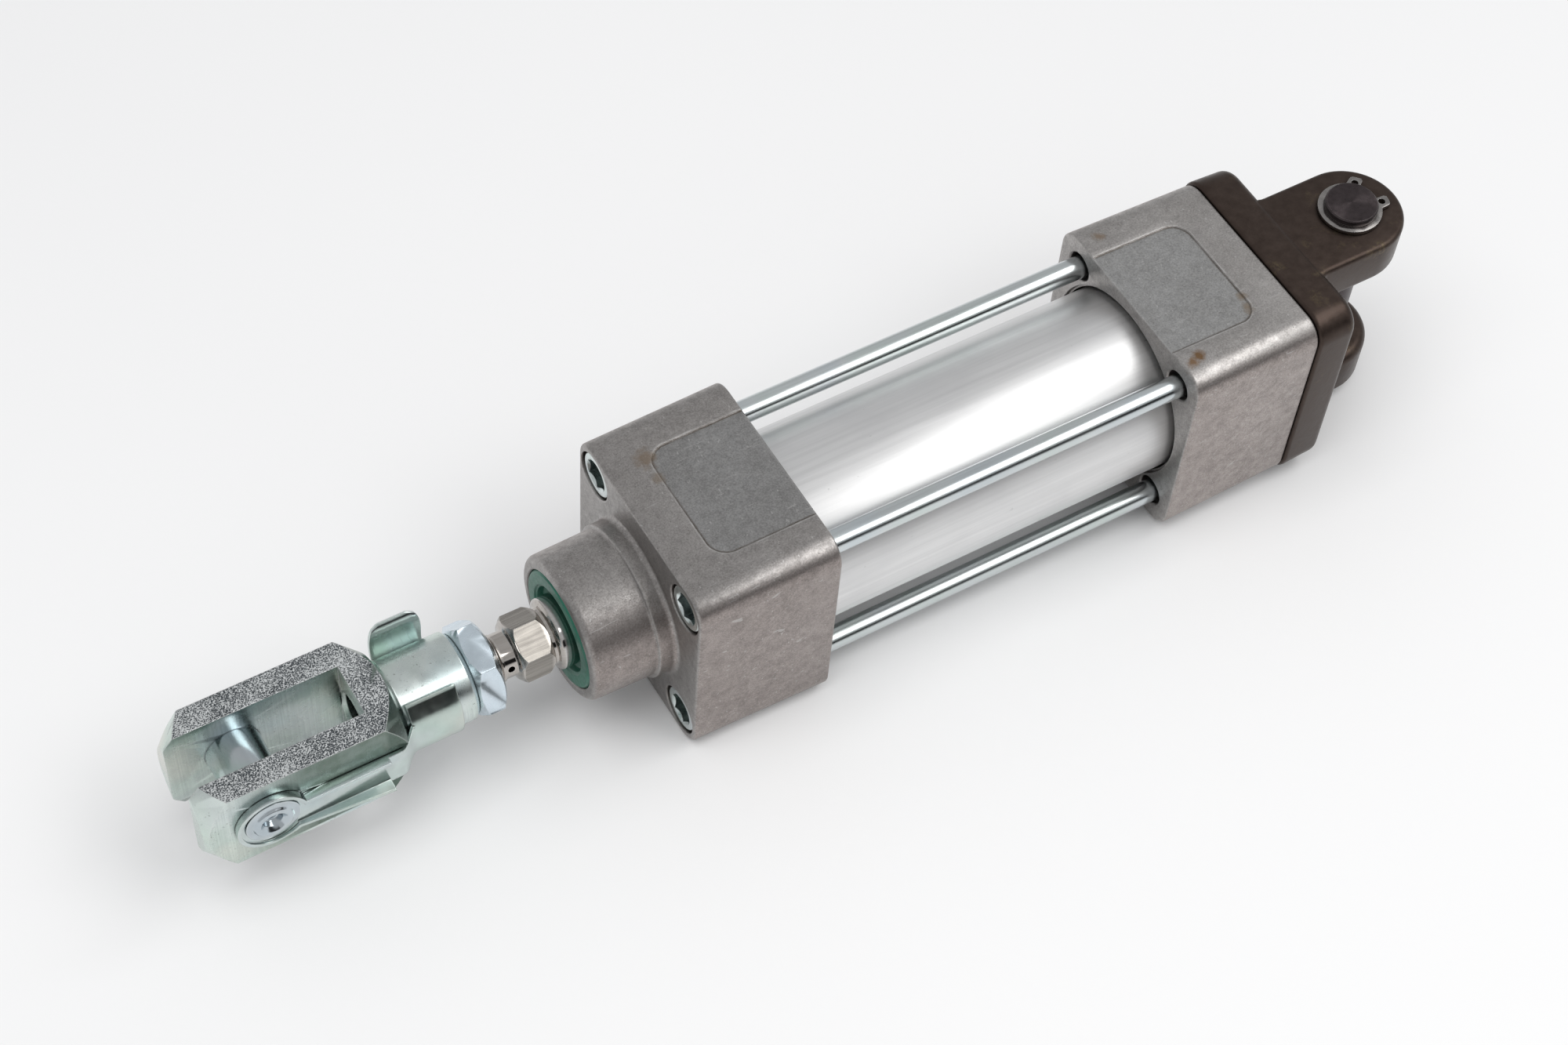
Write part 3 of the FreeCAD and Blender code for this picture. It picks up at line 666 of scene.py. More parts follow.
def tube_mat():
    """Clear anodised tube with faint draw lines."""
    a = Mat("anodised tube")
    line = a.noise(700, 3, 0.6, stretch=(0.03, 1, 1))
    cloud = a.noise(60, 3, 0.5)
    c = a.ramp(line, [(0.3, (0.70, 0.70, 0.70)), (0.7, (0.80, 0.80, 0.80))])
    c = a.mix(a.rng(cloud, 0.45, 0.75, 0.0, 0.35), c, (0.62, 0.62, 0.63))
    mark = a.rng(a.noise(420, 3, 0.7, stretch=(0.5, 1, 1), off=(1, 2, 3)), 0.70, 0.74, 0.0, 0.5)
    c = a.mix(mark, c, (0.45, 0.45, 0.45))
    a.set(color=c, rough=a.rng(line, 0.3, 0.7, 0.39, 0.43), metallic=0.95)
    a.normal(a.bump(line, 0.000004, 0.4))
    return a.m


def chrome_mat(name="hard chrome"):
    """Polished rod; the ground flats of the hexagon carry fine lines along the rod."""
    a = Mat(name)
    n1 = a.noise(1500, 3, 0.6, stretch=(0.04, 1, 1))
    n2 = a.noise(260, 2, 0.5)
    x = a.where("X")
    hexa = a.math("MULTIPLY", a.rng(x, -0.0298, -0.0296, 0.0, 1.0), a.rng(x, -0.0236, -0.0230, 1.0, 0.0))
    c = a.ramp(n1, [(0.3, (0.43, 0.40, 0.37)), (0.7, (0.54, 0.51, 0.48))])
    shaft = a.rng(a.where("X"), -0.0212, -0.0206, 0.0, 1.0)
    c = a.mix(shaft, c, a.ramp(n1, [(0.3, (0.53, 0.525, 0.515)), (0.7, (0.62, 0.615, 0.605))]))
    c = a.mix(hexa, c, a.ramp(n1, [(0.35, (0.235, 0.220, 0.200)), (0.65, (0.36, 0.34, 0.31))]))
    e = a.math("MULTIPLY", a.edges(0.0004), 0.5)
    c = a.mix(e, c, (0.85, 0.83, 0.80))
    r = a.math("ADD", a.rng(n2, 0.3, 0.7, 0.07, 0.13), a.math("MULTIPLY", hexa, 0.14))
    a.set(color=c, rough=r, metallic=1.0)
    a.normal(a.bump(a.math("MULTIPLY", n1, a.math("ADD", hexa, 0.08)), 0.00003, 0.7, a.bevel(0.00012)))
    return a.m


def coat_mat():
    """Dark brown-black coat on a casting, rubbed on its edges and marked on top."""
    a = Mat("clevis coat")
    n1 = a.noise(420, 5, 0.6)
    n2 = a.noise(110, 3, 0.6, off=(2, 2, 1))
    c = a.ramp(n1, [(0.30, (0.046, 0.032, 0.026)), (0.70, (0.064, 0.046, 0.038))])
    rub = a.rng(n2, 0.58, 0.68, 0.0, 0.75)
    rub = a.math("MULTIPLY", rub, a.rng(a.noise(900, 3, 0.7), 0.42, 0.62, 0.0, 1.0))
    c = a.mix(rub, c, (0.115, 0.088, 0.055))
    e = a.math("MULTIPLY", a.edges(0.0009), a.rng(a.noise(500, 3, 0.7), 0.42, 0.66, 0.0, 0.75))
    c = a.mix(e, c, (0.20, 0.17, 0.15))
    # painted shade: near black in inside corners
    c = a.mix(a.painted_crease_shade(0.0012, 0.55), c, (0.012, 0.009, 0.008))
    a.set(color=c, rough=a.rng(n1, 0.3, 0.7, 0.30, 0.40), metallic=0.85)
    a.normal(a.bump(a.math("ADD", n1, a.math("MULTIPLY", a.noise(1900, 2), 0.3)), 0.00006, 0.6, a.bevel(0.0007)))
    return a.m


def seal_mat(name, c0, c1, rough):
    a = Mat(name)
    n1 = a.noise(900, 4, 0.6)
    n2 = a.noise(160, 3, 0.5)
    c = a.ramp(n2, [(0.35, c0), (0.68, c1)])
    dust = a.rng(n1, 0.62, 0.74, 0.0, 0.25)
    c = a.mix(dust, c, tuple(min(1.0, x * 2.2 + 0.02) for x in c1))
    a.set(color=c, rough=a.rng(n1, 0.3, 0.7, rough - 0.05, rough + 0.10), metallic=0.0, spec=0.5)
    a.normal(a.bump(n1, 0.00002, 0.5, a.bevel(0.0002)))
    return a.m


def turned(name, base, rough=(0.22, 0.34), metallic=1.0, centre=None, ring=9000.0, depth=0.000012):
    """Turned metal; with a centre, fine rings round an axis parallel to Z or Y."""
    a = Mat(name)
    n1 = a.noise(800, 4, 0.6)
    c = a.ramp(n1, [(0.3, tuple(x * 0.82 for x in base)), (0.7, tuple(min(1, x * 1.14) for x in base))])
    nrm = a.bevel(0.00025)
    if centre is not None:
        axis, u, v = centre
        s = a.t.nodes.new("ShaderNodeSeparateXYZ")
        a.link(a.co.outputs["Object"], s.inputs[0])
        ia, ib = {"Z": (0, 1), "Y": (0, 2), "X": (1, 2)}[axis]
        da = a.math("POWER", a.math("SUBTRACT", s.outputs[ia], u * MM), 2.0)
        db = a.math("POWER", a.math("SUBTRACT", s.outputs[ib], v * MM), 2.0)
        r = a.math("SQRT", a.math("ADD", da, db))
        w = a.math("SINE", a.math("MULTIPLY", r, ring))
        w = a.math("ADD", a.math("MULTIPLY", w, 0.5), a.math("MULTIPLY", n1, 0.8))
        w = a.math("MULTIPLY", w, a.normal_axis(axis, 0.9, 0.98))
        nrm = a.bump(w, depth, 0.8, nrm)
    else:
        nrm = a.bump(n1, depth, 0.6, nrm)
    e = a.math("MULTIPLY", a.edges(0.0005), 0.35)
    c = a.mix(e, c, tuple(min(1, x * 1.5 + 0.05) for x in base))
    a.set(color=c, rough=a.rng(n1, 0.3, 0.7, rough[0], rough[1]), metallic=metallic)
    a.normal(nrm)
    return a.m


def pin_mat():
    """Dark turned steel: fine rings on the ends give a fan of sheen."""
    a = Mat("rear pin steel")
    n1 = a.noise(700, 3, 0.6)
    c = a.ramp(n1, [(0.3, (0.055, 0.045, 0.047)), (0.7, (0.080, 0.066, 0.068))])
    e = a.math("MULTIPLY", a.edges(0.0004), 0.7)
    c = a.mix(e, c, (0.50, 0.46, 0.44))
    tg = a.t.nodes.new("ShaderNodeTangent")
    tg.direction_type = "RADIAL"
    tg.axis = "Z"
    a.link(tg.outputs[0], a.b.inputs["Tangent"])
    a.set(color=c, rough=a.rng(n1, 0.3, 0.7, 0.26, 0.31), metallic=1.0, aniso=0.85)
    a.normal(a.bump(n1, 0.000001, 0.2))
    return a.m


RUST = (0.20, 0.115, 0.055)
M = {}
M["cast_f"] = cast_mat("cast alloy front", (0.0, 0.0, 0.0), [
    ((9.0, 13.6, 25.8), 3.0, (0.23, 0.175, 0.125), 0.75), ((9.2, 8.0, 25.8), 2.0, (0.25, 0.20, 0.15), 0.6)])
M["cast_r"] = cast_mat("cast alloy rear", (4.0, 2.0, 1.0), [
    ((126.6, -18.6, 25.9), 1.9, RUST, 0.95), ((124.6, -19.4, 25.9), 1.7, (0.24, 0.145, 0.075), 0.9),
    ((123.3, -20.6, 25.4), 1.3, (0.27, 0.17, 0.09), 0.8), ((144.0, -13.0, 25.8), 1.5, (0.22, 0.165, 0.11), 0.6),
    ((126.5, 19.6, 25.9), 1.8, (0.24, 0.17, 0.11), 0.7), ((145.0, -9.0, 25.6), 1.6, (0.24, 0.18, 0.12), 0.6),
    ((144.6, -11.5, 25.6), 1.2, (0.24, 0.18, 0.12), 0.6)], (0.375, 0.36, 0.35), 120.2, 0.9)
M["tube"] = tube_mat()
M["tie"] = zinc("tie rod zinc", (0.66, 0.69, 0.70), (0.17, 0.27), 0.25, (0.05, 1, 1), bump=0.000018)
M["nut"] = zinc("nut zinc", (0.70, 0.74, 0.75), (0.16, 0.26), 0.30)
M["jam"] = zinc("jam nut zinc", (0.70, 0.79, 0.87), (0.25, 0.29), 0.10, bump=0.000003, scale=200, wear=0.25)
M["clip"] = zinc("clip zinc", (0.60, 0.65, 0.645), (0.15, 0.22), 0.50, scale=260)
M["fork"] = fork_mat()
M["fpin"] = zinc("fork pin zinc", (0.58, 0.61, 0.64), (0.12, 0.20), 0.65, (1, 0.1, 1), scale=260)
M["chrome"] = chrome_mat()
M["coat"] = coat_mat()
M["green"] = seal_mat("green seal", (0.006, 0.095, 0.060), (0.012, 0.150, 0.095), 0.33)
M["black"] = seal_mat("black seal", (0.010, 0.010, 0.010), (0.022, 0.022, 0.023), 0.42)
M["pin"] = pin_mat()
M["ring"] = turned("circlip steel", (0.30, 0.285, 0.275), (0.20, 0.28))
M["screw"] = turned("blackened screw", (0.045, 0.045, 0.048), (0.30, 0.42), 0.9)
M["brass"] = turned("brass screw", (0.62, 0.45, 0.20), (0.22, 0.34))
M["bronze"] = turned("bearing bronze", (0.52, 0.36, 0.19), (0.35, 0.48))
M["piston"] = turned("piston alloy", (0.62, 0.62, 0.63), (0.24, 0.36))
M["magnet"] = seal_mat("magnet", (0.030, 0.030, 0.033), (0.055, 0.055, 0.060), 0.55)
M["guide"] = seal_mat("guide plastic", (0.58, 0.56, 0.49), (0.70, 0.68, 0.60), 0.40)

cad = {
    "rod_bearing_bush": "bronze", "barrel_oring_front": "black", "barrel_oring_rear": "black",
    "cushion_seal_front": "black", "cushion_seal_rear": "black", "cushion_screw_front": "brass",
    "cushion_screw_rear": "brass", "piston_half_front": "piston", "piston_half_rear": "piston",
    "piston_magnet": "magnet", "piston_guide_ring": "guide", "piston_seal_front": "black", "piston_seal_rear": "black",
    "cushion_sleeve_front": "piston", "cushion_sleeve_rear": "piston", "piston_nut": "nut",
    "front_cap": "cast_f", "rear_cap": "cast_r", "barrel_tube": "tube", "tie_rods": "tie", "tie_rod_nuts_front": "nut",
    "tie_rod_nuts_rear": "nut", "rod_wiper_seal": "green", "rear_clevis": "coat", "clevis_screws": "screw",
    "rear_clevis_pin": "pin", "pin_circlips": "ring", "piston_rod": "chrome", "rod_jam_nut": "jam",
    "fork_clevis": "fork", "fork_pin": "fpin", "clip_spring": "clip"}
for node, key in cad.items():
    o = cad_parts[node]
    o.data.materials.clear()
    o.data.materials.append(M[key])
    shade(o, 30)


# ------------------------------------------------------------------ caps
def panel(x_open, x_in, slope, z_at_side, x_side):
    """Cutter for the shallow U step: sloping wall, rounded corners, floor along the drafted top."""
    s = 1.0 if x_in > x_open else -1.0

    def outline(w, xin, r):
        xo = x_open - 3.0 * s
        return arcs([(xo, -w), (xin, -w, r), (xin, w, r), (xo, w)], True, 9)

    rings = []
    for w, dx, r, dz in ((15.2, 0.0, 4.5, -0.44), (15.26, 0.06, 4.56, -0.20), (16.2, 1.0, 5.5, -0.08), (17.3, 2.1, 6.6, 0.02), (17.9, 2.7, 7.2, 0.6)):
        o = outline(w, x_in + dx * s, r)
        rings.append([(x, y, z_at_side + slope * (x - x_side) + dz) for x, y in o])
    return loft("c", rings)


def cap(name, front):
    if front:
        ob = block("cap", 0.0, CAP_OUT, CAP_L, CAP_IN, CAP_RC, 0.75, 0.55)
        nose = lathe("n", [(3.0, 0), (-NOSE_L, 0), (-NOSE_L, 16.4, 1.7), (-4.35, NOSE_R, 0.5), (-4.0, PILOT_R, 0.12), (-0.02, PILOT_R + 0.02, 1.25),
                           (0.02, 22.2, 0.5), (3.0, 22.2)], seg=144, n=8)
        # the flare blends into the mounting face
        add = [nose, rod_cut(CAP_L - 4, CAP_L + 5, BORE_R - 0.05, seg=128)]
        m, d, side = 0.0, 1.0, CAP_L
    else:
        ob = block("cap", XR, CAP_IN, XE, CAP_OUT, CAP_RC, 0.55, 0.75)
        add = [rod_cut(XR - 5, XR + 4, BORE_R - 0.05, seg=128), rod_cut(XE - 1, XE + 3.4, PILOT_R, seg=96)]
        m, d, side = XE, -1.0, XR
    boo(ob, add, "UNION")

    def xs(a, b):
        return tuple(sorted((m + d * a, m + d * b)))

    cuts = []
    for y in (-TG, TG):
        for z in (-TG, TG):
            a, b = xs(-1.0, 15.4)
            cuts.append(rod_cut(a, b, 5.6, y, z, 72))
            c = lathe("c", [(m - d * 0.4, 0), (m - d * 0.4, 5.95), (m + d * 0.12, 5.62), (m + d * 0.5, 0)], "X", (0, y, z), 72, closed=False)
            cuts.append(c)
            a, b = xs(10.0, 40.0)
            cuts.append(rod_cut(a, b, 3.5, y, z, 48))
            a, b = tuple(sorted((side - d * 0.35, side + d * 1.0)))
            r0, r1 = (3.45, 4.9) if d > 0 else (4.9, 3.45)
            cuts.append(lathe("c", [(a, 0), (a, r0), (b, r1), (b, 0)], "X", (0, y, z), 48, closed=False))
    # seat of the barrel
    a, b = tuple(sorted((side - d * 4.0, side + d * 2.0)))
    cuts.append(lathe("c", [(a, BORE_R - 0.05), (a, TUBE_R + 0.45), (b, TUBE_R + 0.45), (b, BORE_R - 0.05)], seg=144))
    a, b = (side - d * 0.9, side + d * 1.2)
    cuts.append(lathe("c", [(a, TUBE_R - 0.3), (a, TUBE_R + 0.9), (b, TUBE_R + 1.25), (b, TUBE_R - 0.3)], seg=144))
    # port, spot face, cushion screw
    xp, xc = m + d * 16.0, m + d * 24.0
    cuts += [cutter("Y", 13.5, 30, 5.9, xp, 0), cutter("Y", 25.4, 30, 9.6, xp, 0, 96), cutter("Y", 8, 14, 3.5, xp, 0, 32),
             cutter("Y", 12, 30, 2.55, xc, -11.0, 32), cutter("Y", 23.6, 30, 3.4, xc, -11.0, 32)]
    # rod bore and chamber
    if front:
        cuts += [rod_cut(-NOSE_L - 1, -12, 13.5, seg=96), rod_cut(-13, 11.5, 10.0, seg=64), rod_cut(11, 15, 8.6, seg=64),
                 rod_cut(14, 39, 12.5, seg=64),
                 lathe("c", [(-NOSE_L - 0.3, 0), (-NOSE_L - 0.3, 14.15), (-NOSE_L + 0.38, 13.48), (-NOSE_L + 0.5, 0)], seg=96, closed=False)]
        cuts.append(panel(CAP_L, 9.6, 0.5 / 33.0, CAP_IN, CAP_L))
    else:
        cuts += [rod_cut(XR - 6, XE - 12, 12.5, seg=64)]
        cuts.append(panel(XR, XE - 9.6, -0.5 / 33.0, CAP_IN, XR))
    boo(ob, cuts)
    return ob


part(cap("front", True), "front_cap_cast", "housing", M["cast_f"], ["front_cap"])
part(cap("rear", False), "rear_cap_cast", "housing", M["cast_r"], ["rear_cap"])

# port threads
for nm, xp, slot, key, rep in (("port_thread_front", 16.0, "cast_alloy", "cast_f", None), ("port_thread_rear", 139.0, "cast_alloy_rear", "cast_r", None)):
    t = thread(nm, 14.0, 25.2, 5.95, 5.35, 1.34, 48, 6, cap0=True, cap1=True, inner=6.15)
    bm = bmesh.new()
    bm.from_mesh(t.data)
    bmesh.ops.transform(bm, matrix=Matrix(((0, 1, 0, xp), (1, 0, 0, 0), (0, 0, 1, 0), (0, 0, 0, 1))), verts=bm.verts)
    bmesh.ops.recalc_face_normals(bm, faces=bm.faces)
    bm.to_mesh(t.data)
    bm.free()
    part(t, nm, "housing", M[key], None)

# ------------------------------------------------------------------ barrel, tie rods, nuts
tube = lathe("tube", [(CAP_L - 3.9, BORE_R, 0.3), (XR + 3.9, BORE_R, 0.3), (XR + 3.9, TUBE_R, 0.4), (CAP_L - 3.9, TUBE_R, 0.4)], seg=192, n=3)
part(tube, "barrel_tube_drawn", "housing", M["tube"], ["barrel_tube"])

rods = []
for y in (-TG, TG):
    for z in (-TG, TG):
        rods.append(lathe("r", [(16.6, 0), (16.6, 2.35, 0.1), (17.4, 2.6, 0.2), (XE - 17.4, 2.6, 0.2), (XE - 16.6, 2.35, 0.1), (XE - 16.6, 0)],
                          "X", (0, y, z), 40, closed=False))
        rods.append(thread("t", 11.3, 16.7, 2.92, 2.42, 1.0, 36, 8, y, z))
        rods.append(thread("t", XE - 16.7, XE - 11.3, 2.92, 2.42, 1.0, 36, 8, y, z))
part(join("tie", rods), "tie_rods_zinc", "housing", M["tie"], ["tie_rods"])


def round_nut(y, z, spin):
    ob = lathe("n", [(0.35, 0), (0.35, 5.3, 0.62), (15.4, 5.3, 0.3), (15.4, 3.0), (16.0, 0)], "X", (0, y, z), 64, n=5, closed=False)
    hexa = prism("c", ngon(3.72, 6, math.radians(spin), y, z), "X", -1.0, 5.4)
    cone = lathe("c", [(-0.2, 0), (-0.2, 4.35), (0.95, 3.15), (1.2, 0)], "X", (0, y, z), 48, closed=False)
    bore = rod_cut(5.0, 17.0, 2.98, y, z, 40)
    boo(ob, [hexa, cone, bore])
    ring = thread("t", 5.5, 11.0, 2.95, 2.45, 1.0, 32, 8, y, z, inner=3.05)
    return [ob, ring]


nuts = []
for i, (y, z, s) in enumerate(((-TG, -TG, 12), (-TG, TG, 40), (TG, -TG, 3), (TG, TG, 24))):
    nuts += round_nut(y, z, s)
part(join("nuts", nuts), "tie_rod_nuts_front_zinc", "housing", M["nut"], ["tie_rod_nuts_front"])

# ------------------------------------------------------------------ wiper seal
seal = lathe("seal", [(-NOSE_L - 0.12, 10.35, 0.12), (-NOSE_L - 0.12, 12.95, 0.15), (-NOSE_L + 0.42, 13.42, 0.15), (-12.05, 13.42), (-12.05, 8.6),
                      (-13.2, 8.06), (-13.9, 8.06), (-14.3, 8.9), (-15.6, 8.9), (-16.1, 8.06, 0.05), (-16.75, 8.06, 0.05), (-17.0, 8.9, 0.15),
                      (-17.2, 9.45, 0.15), (-NOSE_L + 0.3, 9.75, 0.2), (-NOSE_L + 0.2, 10.1, 0.1)], seg=128, n=4)
part(seal, "rod_wiper_seal_green", "housing", M["green"], ["rod_wiper_seal"])

# ------------------------------------------------------------------ piston rod with hex flats, neck and thread
X_P0, X_P1 = 89.6, 115.4
X_N0, X_N1 = -33.3, -30.2
rod = lathe("rod", [(X_N0 - 0.1, 0), (X_N0 - 0.1, 5.0), (X_N0 + 0.4, 5.0, 0.2), (X_N1 - 0.35, 5.0, 0.3), (X_N1, 5.9, 0.15), (X_N1 + 0.05, 6.3, 0.05), (-28.95, 7.58, 0.06),
                    (-24.1, 7.58, 0.06), (-22.7, 6.55, 0.08), (-22.55, 6.35, 0.1), (-21.9, 6.45, 0.15), (-21.65, 7.2, 0.1), (-21.15, 7.9, 0.12), (-20.8, 8.0, 0.08),
                    (X_P0, 8.0), (X_P0, 5.0), (X_P1 + 19.0, 5.0), (X_P1 + 19.6, 4.4), (X_P1 + 19.6, 0)],
            seg=128, n=4, closed=False)
ring = lathe("c", [(X_N1 + 0.02, 5.6), (X_N1 + 0.02, 12), (-22.62, 12), (-22.62, 5.6)], seg=48)
hx = prism("h", ngon(13.0 / math.sqrt(3.0), 6, math.radians(30.0)), "X", -32.0, -22.0)
boo(ring, [hx])
boo(rod, [ring])
hole = cutter("Y", -9, 0, 0.78, -32.05, 0.0, 32)
hole.rotation_euler = (math.radians(-14), 0, 0)
boo(rod, [hole])
thr = thread("t", X_NECK - 12.9, X_N0, 5.93, 5.22, 1.25, 96, 10)
part(join("rod", [rod, thr]), "piston_rod_chrome", "rod", M["chrome"], ["piston_rod"])

# ------------------------------------------------------------------ jam nut
RJ = 19.0 / math.sqrt(3.0)
jam = prism("jam", ngon(RJ, 6, math.radians(10.0)), "X", X_NECK, X_JAM)
env = lathe("e", [(X_NECK, 0), (X_NECK, 8.95, 0.05), (X_NECK + 1.45, RJ + 0.15), (X_JAM - 1.45, RJ + 0.15), (X_JAM, 8.95, 0.05), (X_JAM, 0)], seg=96, closed=False)
boo(jam, [env], "INTERSECT")
boo(jam, [rod_cut(X_NECK - 1, X_JAM + 1, 5.99, seg=64),
          lathe("c", [(X_JAM + 0.2, 0), (X_JAM + 0.2, 7.1), (X_JAM - 0.95, 5.95), (X_JAM - 1.0, 0)], seg=64, closed=False)])
soften(jam, 0.12, 2, 30)
part(jam, "rod_jam_nut_zinc", "rod", M["jam"], ["rod_jam_nut"])

# ------------------------------------------------------------------ fork
fork = prism("fork", [(-12, -12), (12, -12), (12, 12), (-12, 12)], "X", X_TIP, X_SH + 9.0)
env = lathe("e", [(X_TIP, 0), (X_TIP, 11.2, 0.9), (X_TIP + 5.9, 17.2), (X_SH + 1.4, 17.2), (X_SH + 6.5, 12.4, 1.2), (X_SH + 7.4, 10.3, 0.4), (X_SH + 7.9, NECK_R, 0.3),
                  (X_NECK - 1.1, NECK_R, 0.25), (X_NECK, 8.7, 0.1), (X_NECK, 0)], seg=144, n=5, closed=False)
boo(fork, [rod_cut(X_SH + 1.0, X_NECK + 1, NECK_R + 0.3, seg=128)], "UNION")
boo(fork, [env], "INTERSECT")
slot = prism("c", [(X_TIP - 2, -SLOT), (X_SH, -SLOT), (X_SH, SLOT), (X_TIP - 2, SLOT)], "Z", -14, 14)
boo(fork, [slot, cutter("Y", -14, 14, 6.04, X_FPIN, 0.0, 72), rod_cut(X_SH - 1, X_NECK + 1, 5.99, seg=64),
           lathe("c", [(X_SH - 0.2, 0), (X_SH - 0.2, 6.9), (X_SH + 0.9, 5.95), (X_SH + 1.0, 0)], seg=64, closed=False)])
soften(fork, 0.22, 2, 30)
part(fork, "fork_clevis_zinc", "rod", M["fork"], ["fork_clevis"])

# ------------------------------------------------------------------ fork pin, riveted at the near end
CY1 = -12.1
pin = lathe("p", [(-11.7, 0), (-11.8, 1.6, 0.3), (-13.0, 2.1, 0.4), (-13.9, 3.05, 0.35), (-13.85, 4.05, 0.35), (-13.3, 4.45, 0.12), (-13.25, 5.9, 0.12),
                  (-13.05, 5.95, 0.1), (-13.02, 5.3), (-12.08, 5.3), (-12.05, 6.0), (12.35, 6.0, 0.2), (12.9, 5.4, 0.15), (12.9, 0)], "Y", (X_FPIN, 0, 0), 96, n=4, closed=False)
part(pin, "fork_pin_zinc", "fork_clip", M["fpin"], ["fork_pin"])

# ------------------------------------------------------------------ clip
X_A1 = X_NECK - 22.5
X_C0, X_C1 = X_NECK - 15.6, X_NECK - 4.6
T = 0.85


def clip_outline(inset=0.0, x_end=X_A1):
    """Keyhole outline in XZ: disc round the pin running into the arm."""
    r = 7.8 - inset
    zt, zb = 3.3 - inset, -5.7 + inset
    at, ab = math.asin(zt / r), math.asin(zb / r)
    pts = [(X_FPIN + r * math.cos(t), r * math.sin(t)) for t in [at + (2 * PI + ab - at) * i / 40 for i in range(41)]]
    return pts + [(x_end, zb), (x_end, zt)]


def tray(inset, y0, y1f, x_end):
    o = clip_outline(inset, x_end)
    return loft("t", [[(x, y0, z) for x, z in o], [(x, y1f(x), z) for x, z in o]])


def lip_y(x):
    k = max(0.0, min(1.0, (x - (X_FPIN + 2.0)) / 12.0))
    return -13.0 - 0.55 - 2.0 * k * k * (3 - 2 * k)


clip = tray(0.0, CY1, lip_y, X_A1)
boo(clip, [tray(T, CY1 - T, lambda x: -22.0, X_A1 + 4.0)])
# upper lip is lower than the bottom one
boo(clip, [cbox(X_FPIN + 5.0, X_A1 + 1, -20, -14.35, 1.5, 6), cbox(X_FPIN - 9, X_A1 + 1, -20, -14.3, 2.3, 9)])
tab_end = lathe("c", [(-7, 0), (-7, 40), (-4.2, 40), (-4.2, 0)], "Z", (0, 0, 0), 8, closed=False)
drop(tab_end)


def strip(name, path, xa, xb, thick, nx=10):
    """Bent sheet: a path of (y, z) swept along X between xa(s) and xb(s), with thickness to its left."""
    n = len(path)
    nor = []
    for i in range(n):
        a, b = path[max(0, i - 1)], path[min(n - 1, i + 1)]
        d = Vector((b[0] - a[0], b[1] - a[1])).normalized()
        nor.append((-d.y, d.x))
    verts = []
    for side in (0.0, thick):
        for i in range(n):
            s = i / (n - 1)
            for j in range(nx + 1):
                x = xa(s) + (xb(s) - xa(s)) * j / nx
                verts.append((x, path[i][0] + nor[i][0] * side, path[i][1] + nor[i][1] * side))
    w = nx + 1
    o = n * w
    faces = []
    for i in range(n - 1):
        for j in range(nx):
            a = i * w + j
            faces.append((a, a + 1, a + 1 + w, a + w))
            faces.append((o + a, o + a + w, o + a + 1 + w, o + a + 1))
    for i in range(n - 1):
        for j in (0, nx):
            a = i * w + j
            faces.append((a, a + w, o + a + w, o + a))
    for j in range(nx):
        for i in (0, n - 1):
            a = i * w + j
            faces.append((a, o + a, o + a + 1, a + 1))
    return make(name, verts, faces, 40)


ri = NECK_R + 0.12
path = [(ri * math.cos(math.radians(a)) , ri * math.sin(math.radians(a))) for a in range(374, 136, -4)]
path = path[::-1]
# near lip flares a little, far tab curls outward
near = [(-6.2, 8.35), (-6.75, 7.75)]
far = [(10.35, 3.3), (10.75, 4.4), (10.95, 5.8), (10.95, 7.2), (10.9, 8.6), (11.05, 9.8), (11.45, 10.7), (12.0, 11.35)]
path = near + path[1:] + far


def x_lo(s):
    k = max(0.0, (s - 0.925) / 0.075)
    g = max(0.0, min(1.0, (s - 0.84) / 0.08))
    return X_C0 + 0.1 + 0.5 * g + 2.6 * (1 - math.sqrt(max(0.0, 1 - min(1.0, k) ** 2)))


def x_hi(s):
    k = max(0.0, (s - 0.925) / 0.075)
    g = max(0.0, min(1.0, (s - 0.84) / 0.08))
    return X_C1 + 1.2 * g - 2.6 * (1 - math.sqrt(max(0.0, 1 - min(1.0, k) ** 2)))


shell = strip("s", path, x_lo, x_hi, -T)
# bend that leads from the arm to the shell
lv, lf = [], []
NU, NV = 16, 12
for side in (0, 1):
    for i in range(NU + 1):
        u = i / NU
        x = X_A1 - 1.2 + (X_C0 + 2.2 - (X_A1 - 1.2)) * u
        k = max(0.0, min(1.0, (x - (X_SH + 4.6)) / (X_C0 + 1.0 - (X_SH + 4.6))))
        k = k * k * (3 - 2 * k)
        for j in range(NV + 1):
            v = j / NV
            zb = -5.7 - 0.9 * k
            zt = 3.3 + 1.6 * k
            z = zb + (zt - zb) * v
            yr = -math.sqrt(max(1.0, (ri + 0.02) ** 2 - z * z))
            y = CY1 * (1 - k) + yr * k
            if side:
                y -= T
            lv.append((x, y, z))
w = NV + 1
o = (NU + 1) * w
for i in range(NU):
    for j in range(NV):
        a = i * w + j
        lf += [(a, a + 1, a + 1 + w, a + w), (o + a, o + a + w, o + a + 1 + w, o + a + 1)]
for i in range(NU):
    for j in (0, NV):
        a = i * w + j
        lf.append((a, a + w, o + a + w, o + a))
for j in range(NV):
    for i in (0, NU):
        a = i * w + j
        lf.append((a, o + a, o + a + 1, a + 1))
linkp = make("l", lv, lf, 40)
boo(clip, [linkp, shell], "UNION")
boo(clip, [cutter("Y", -20, 20, 5.34, X_FPIN, 0.0, 72)])
soften(clip, 0.16, 2, 40, 40)
part(clip, "clip_spring_sheet", "fork_clip", M["clip"], ["clip_spring"])


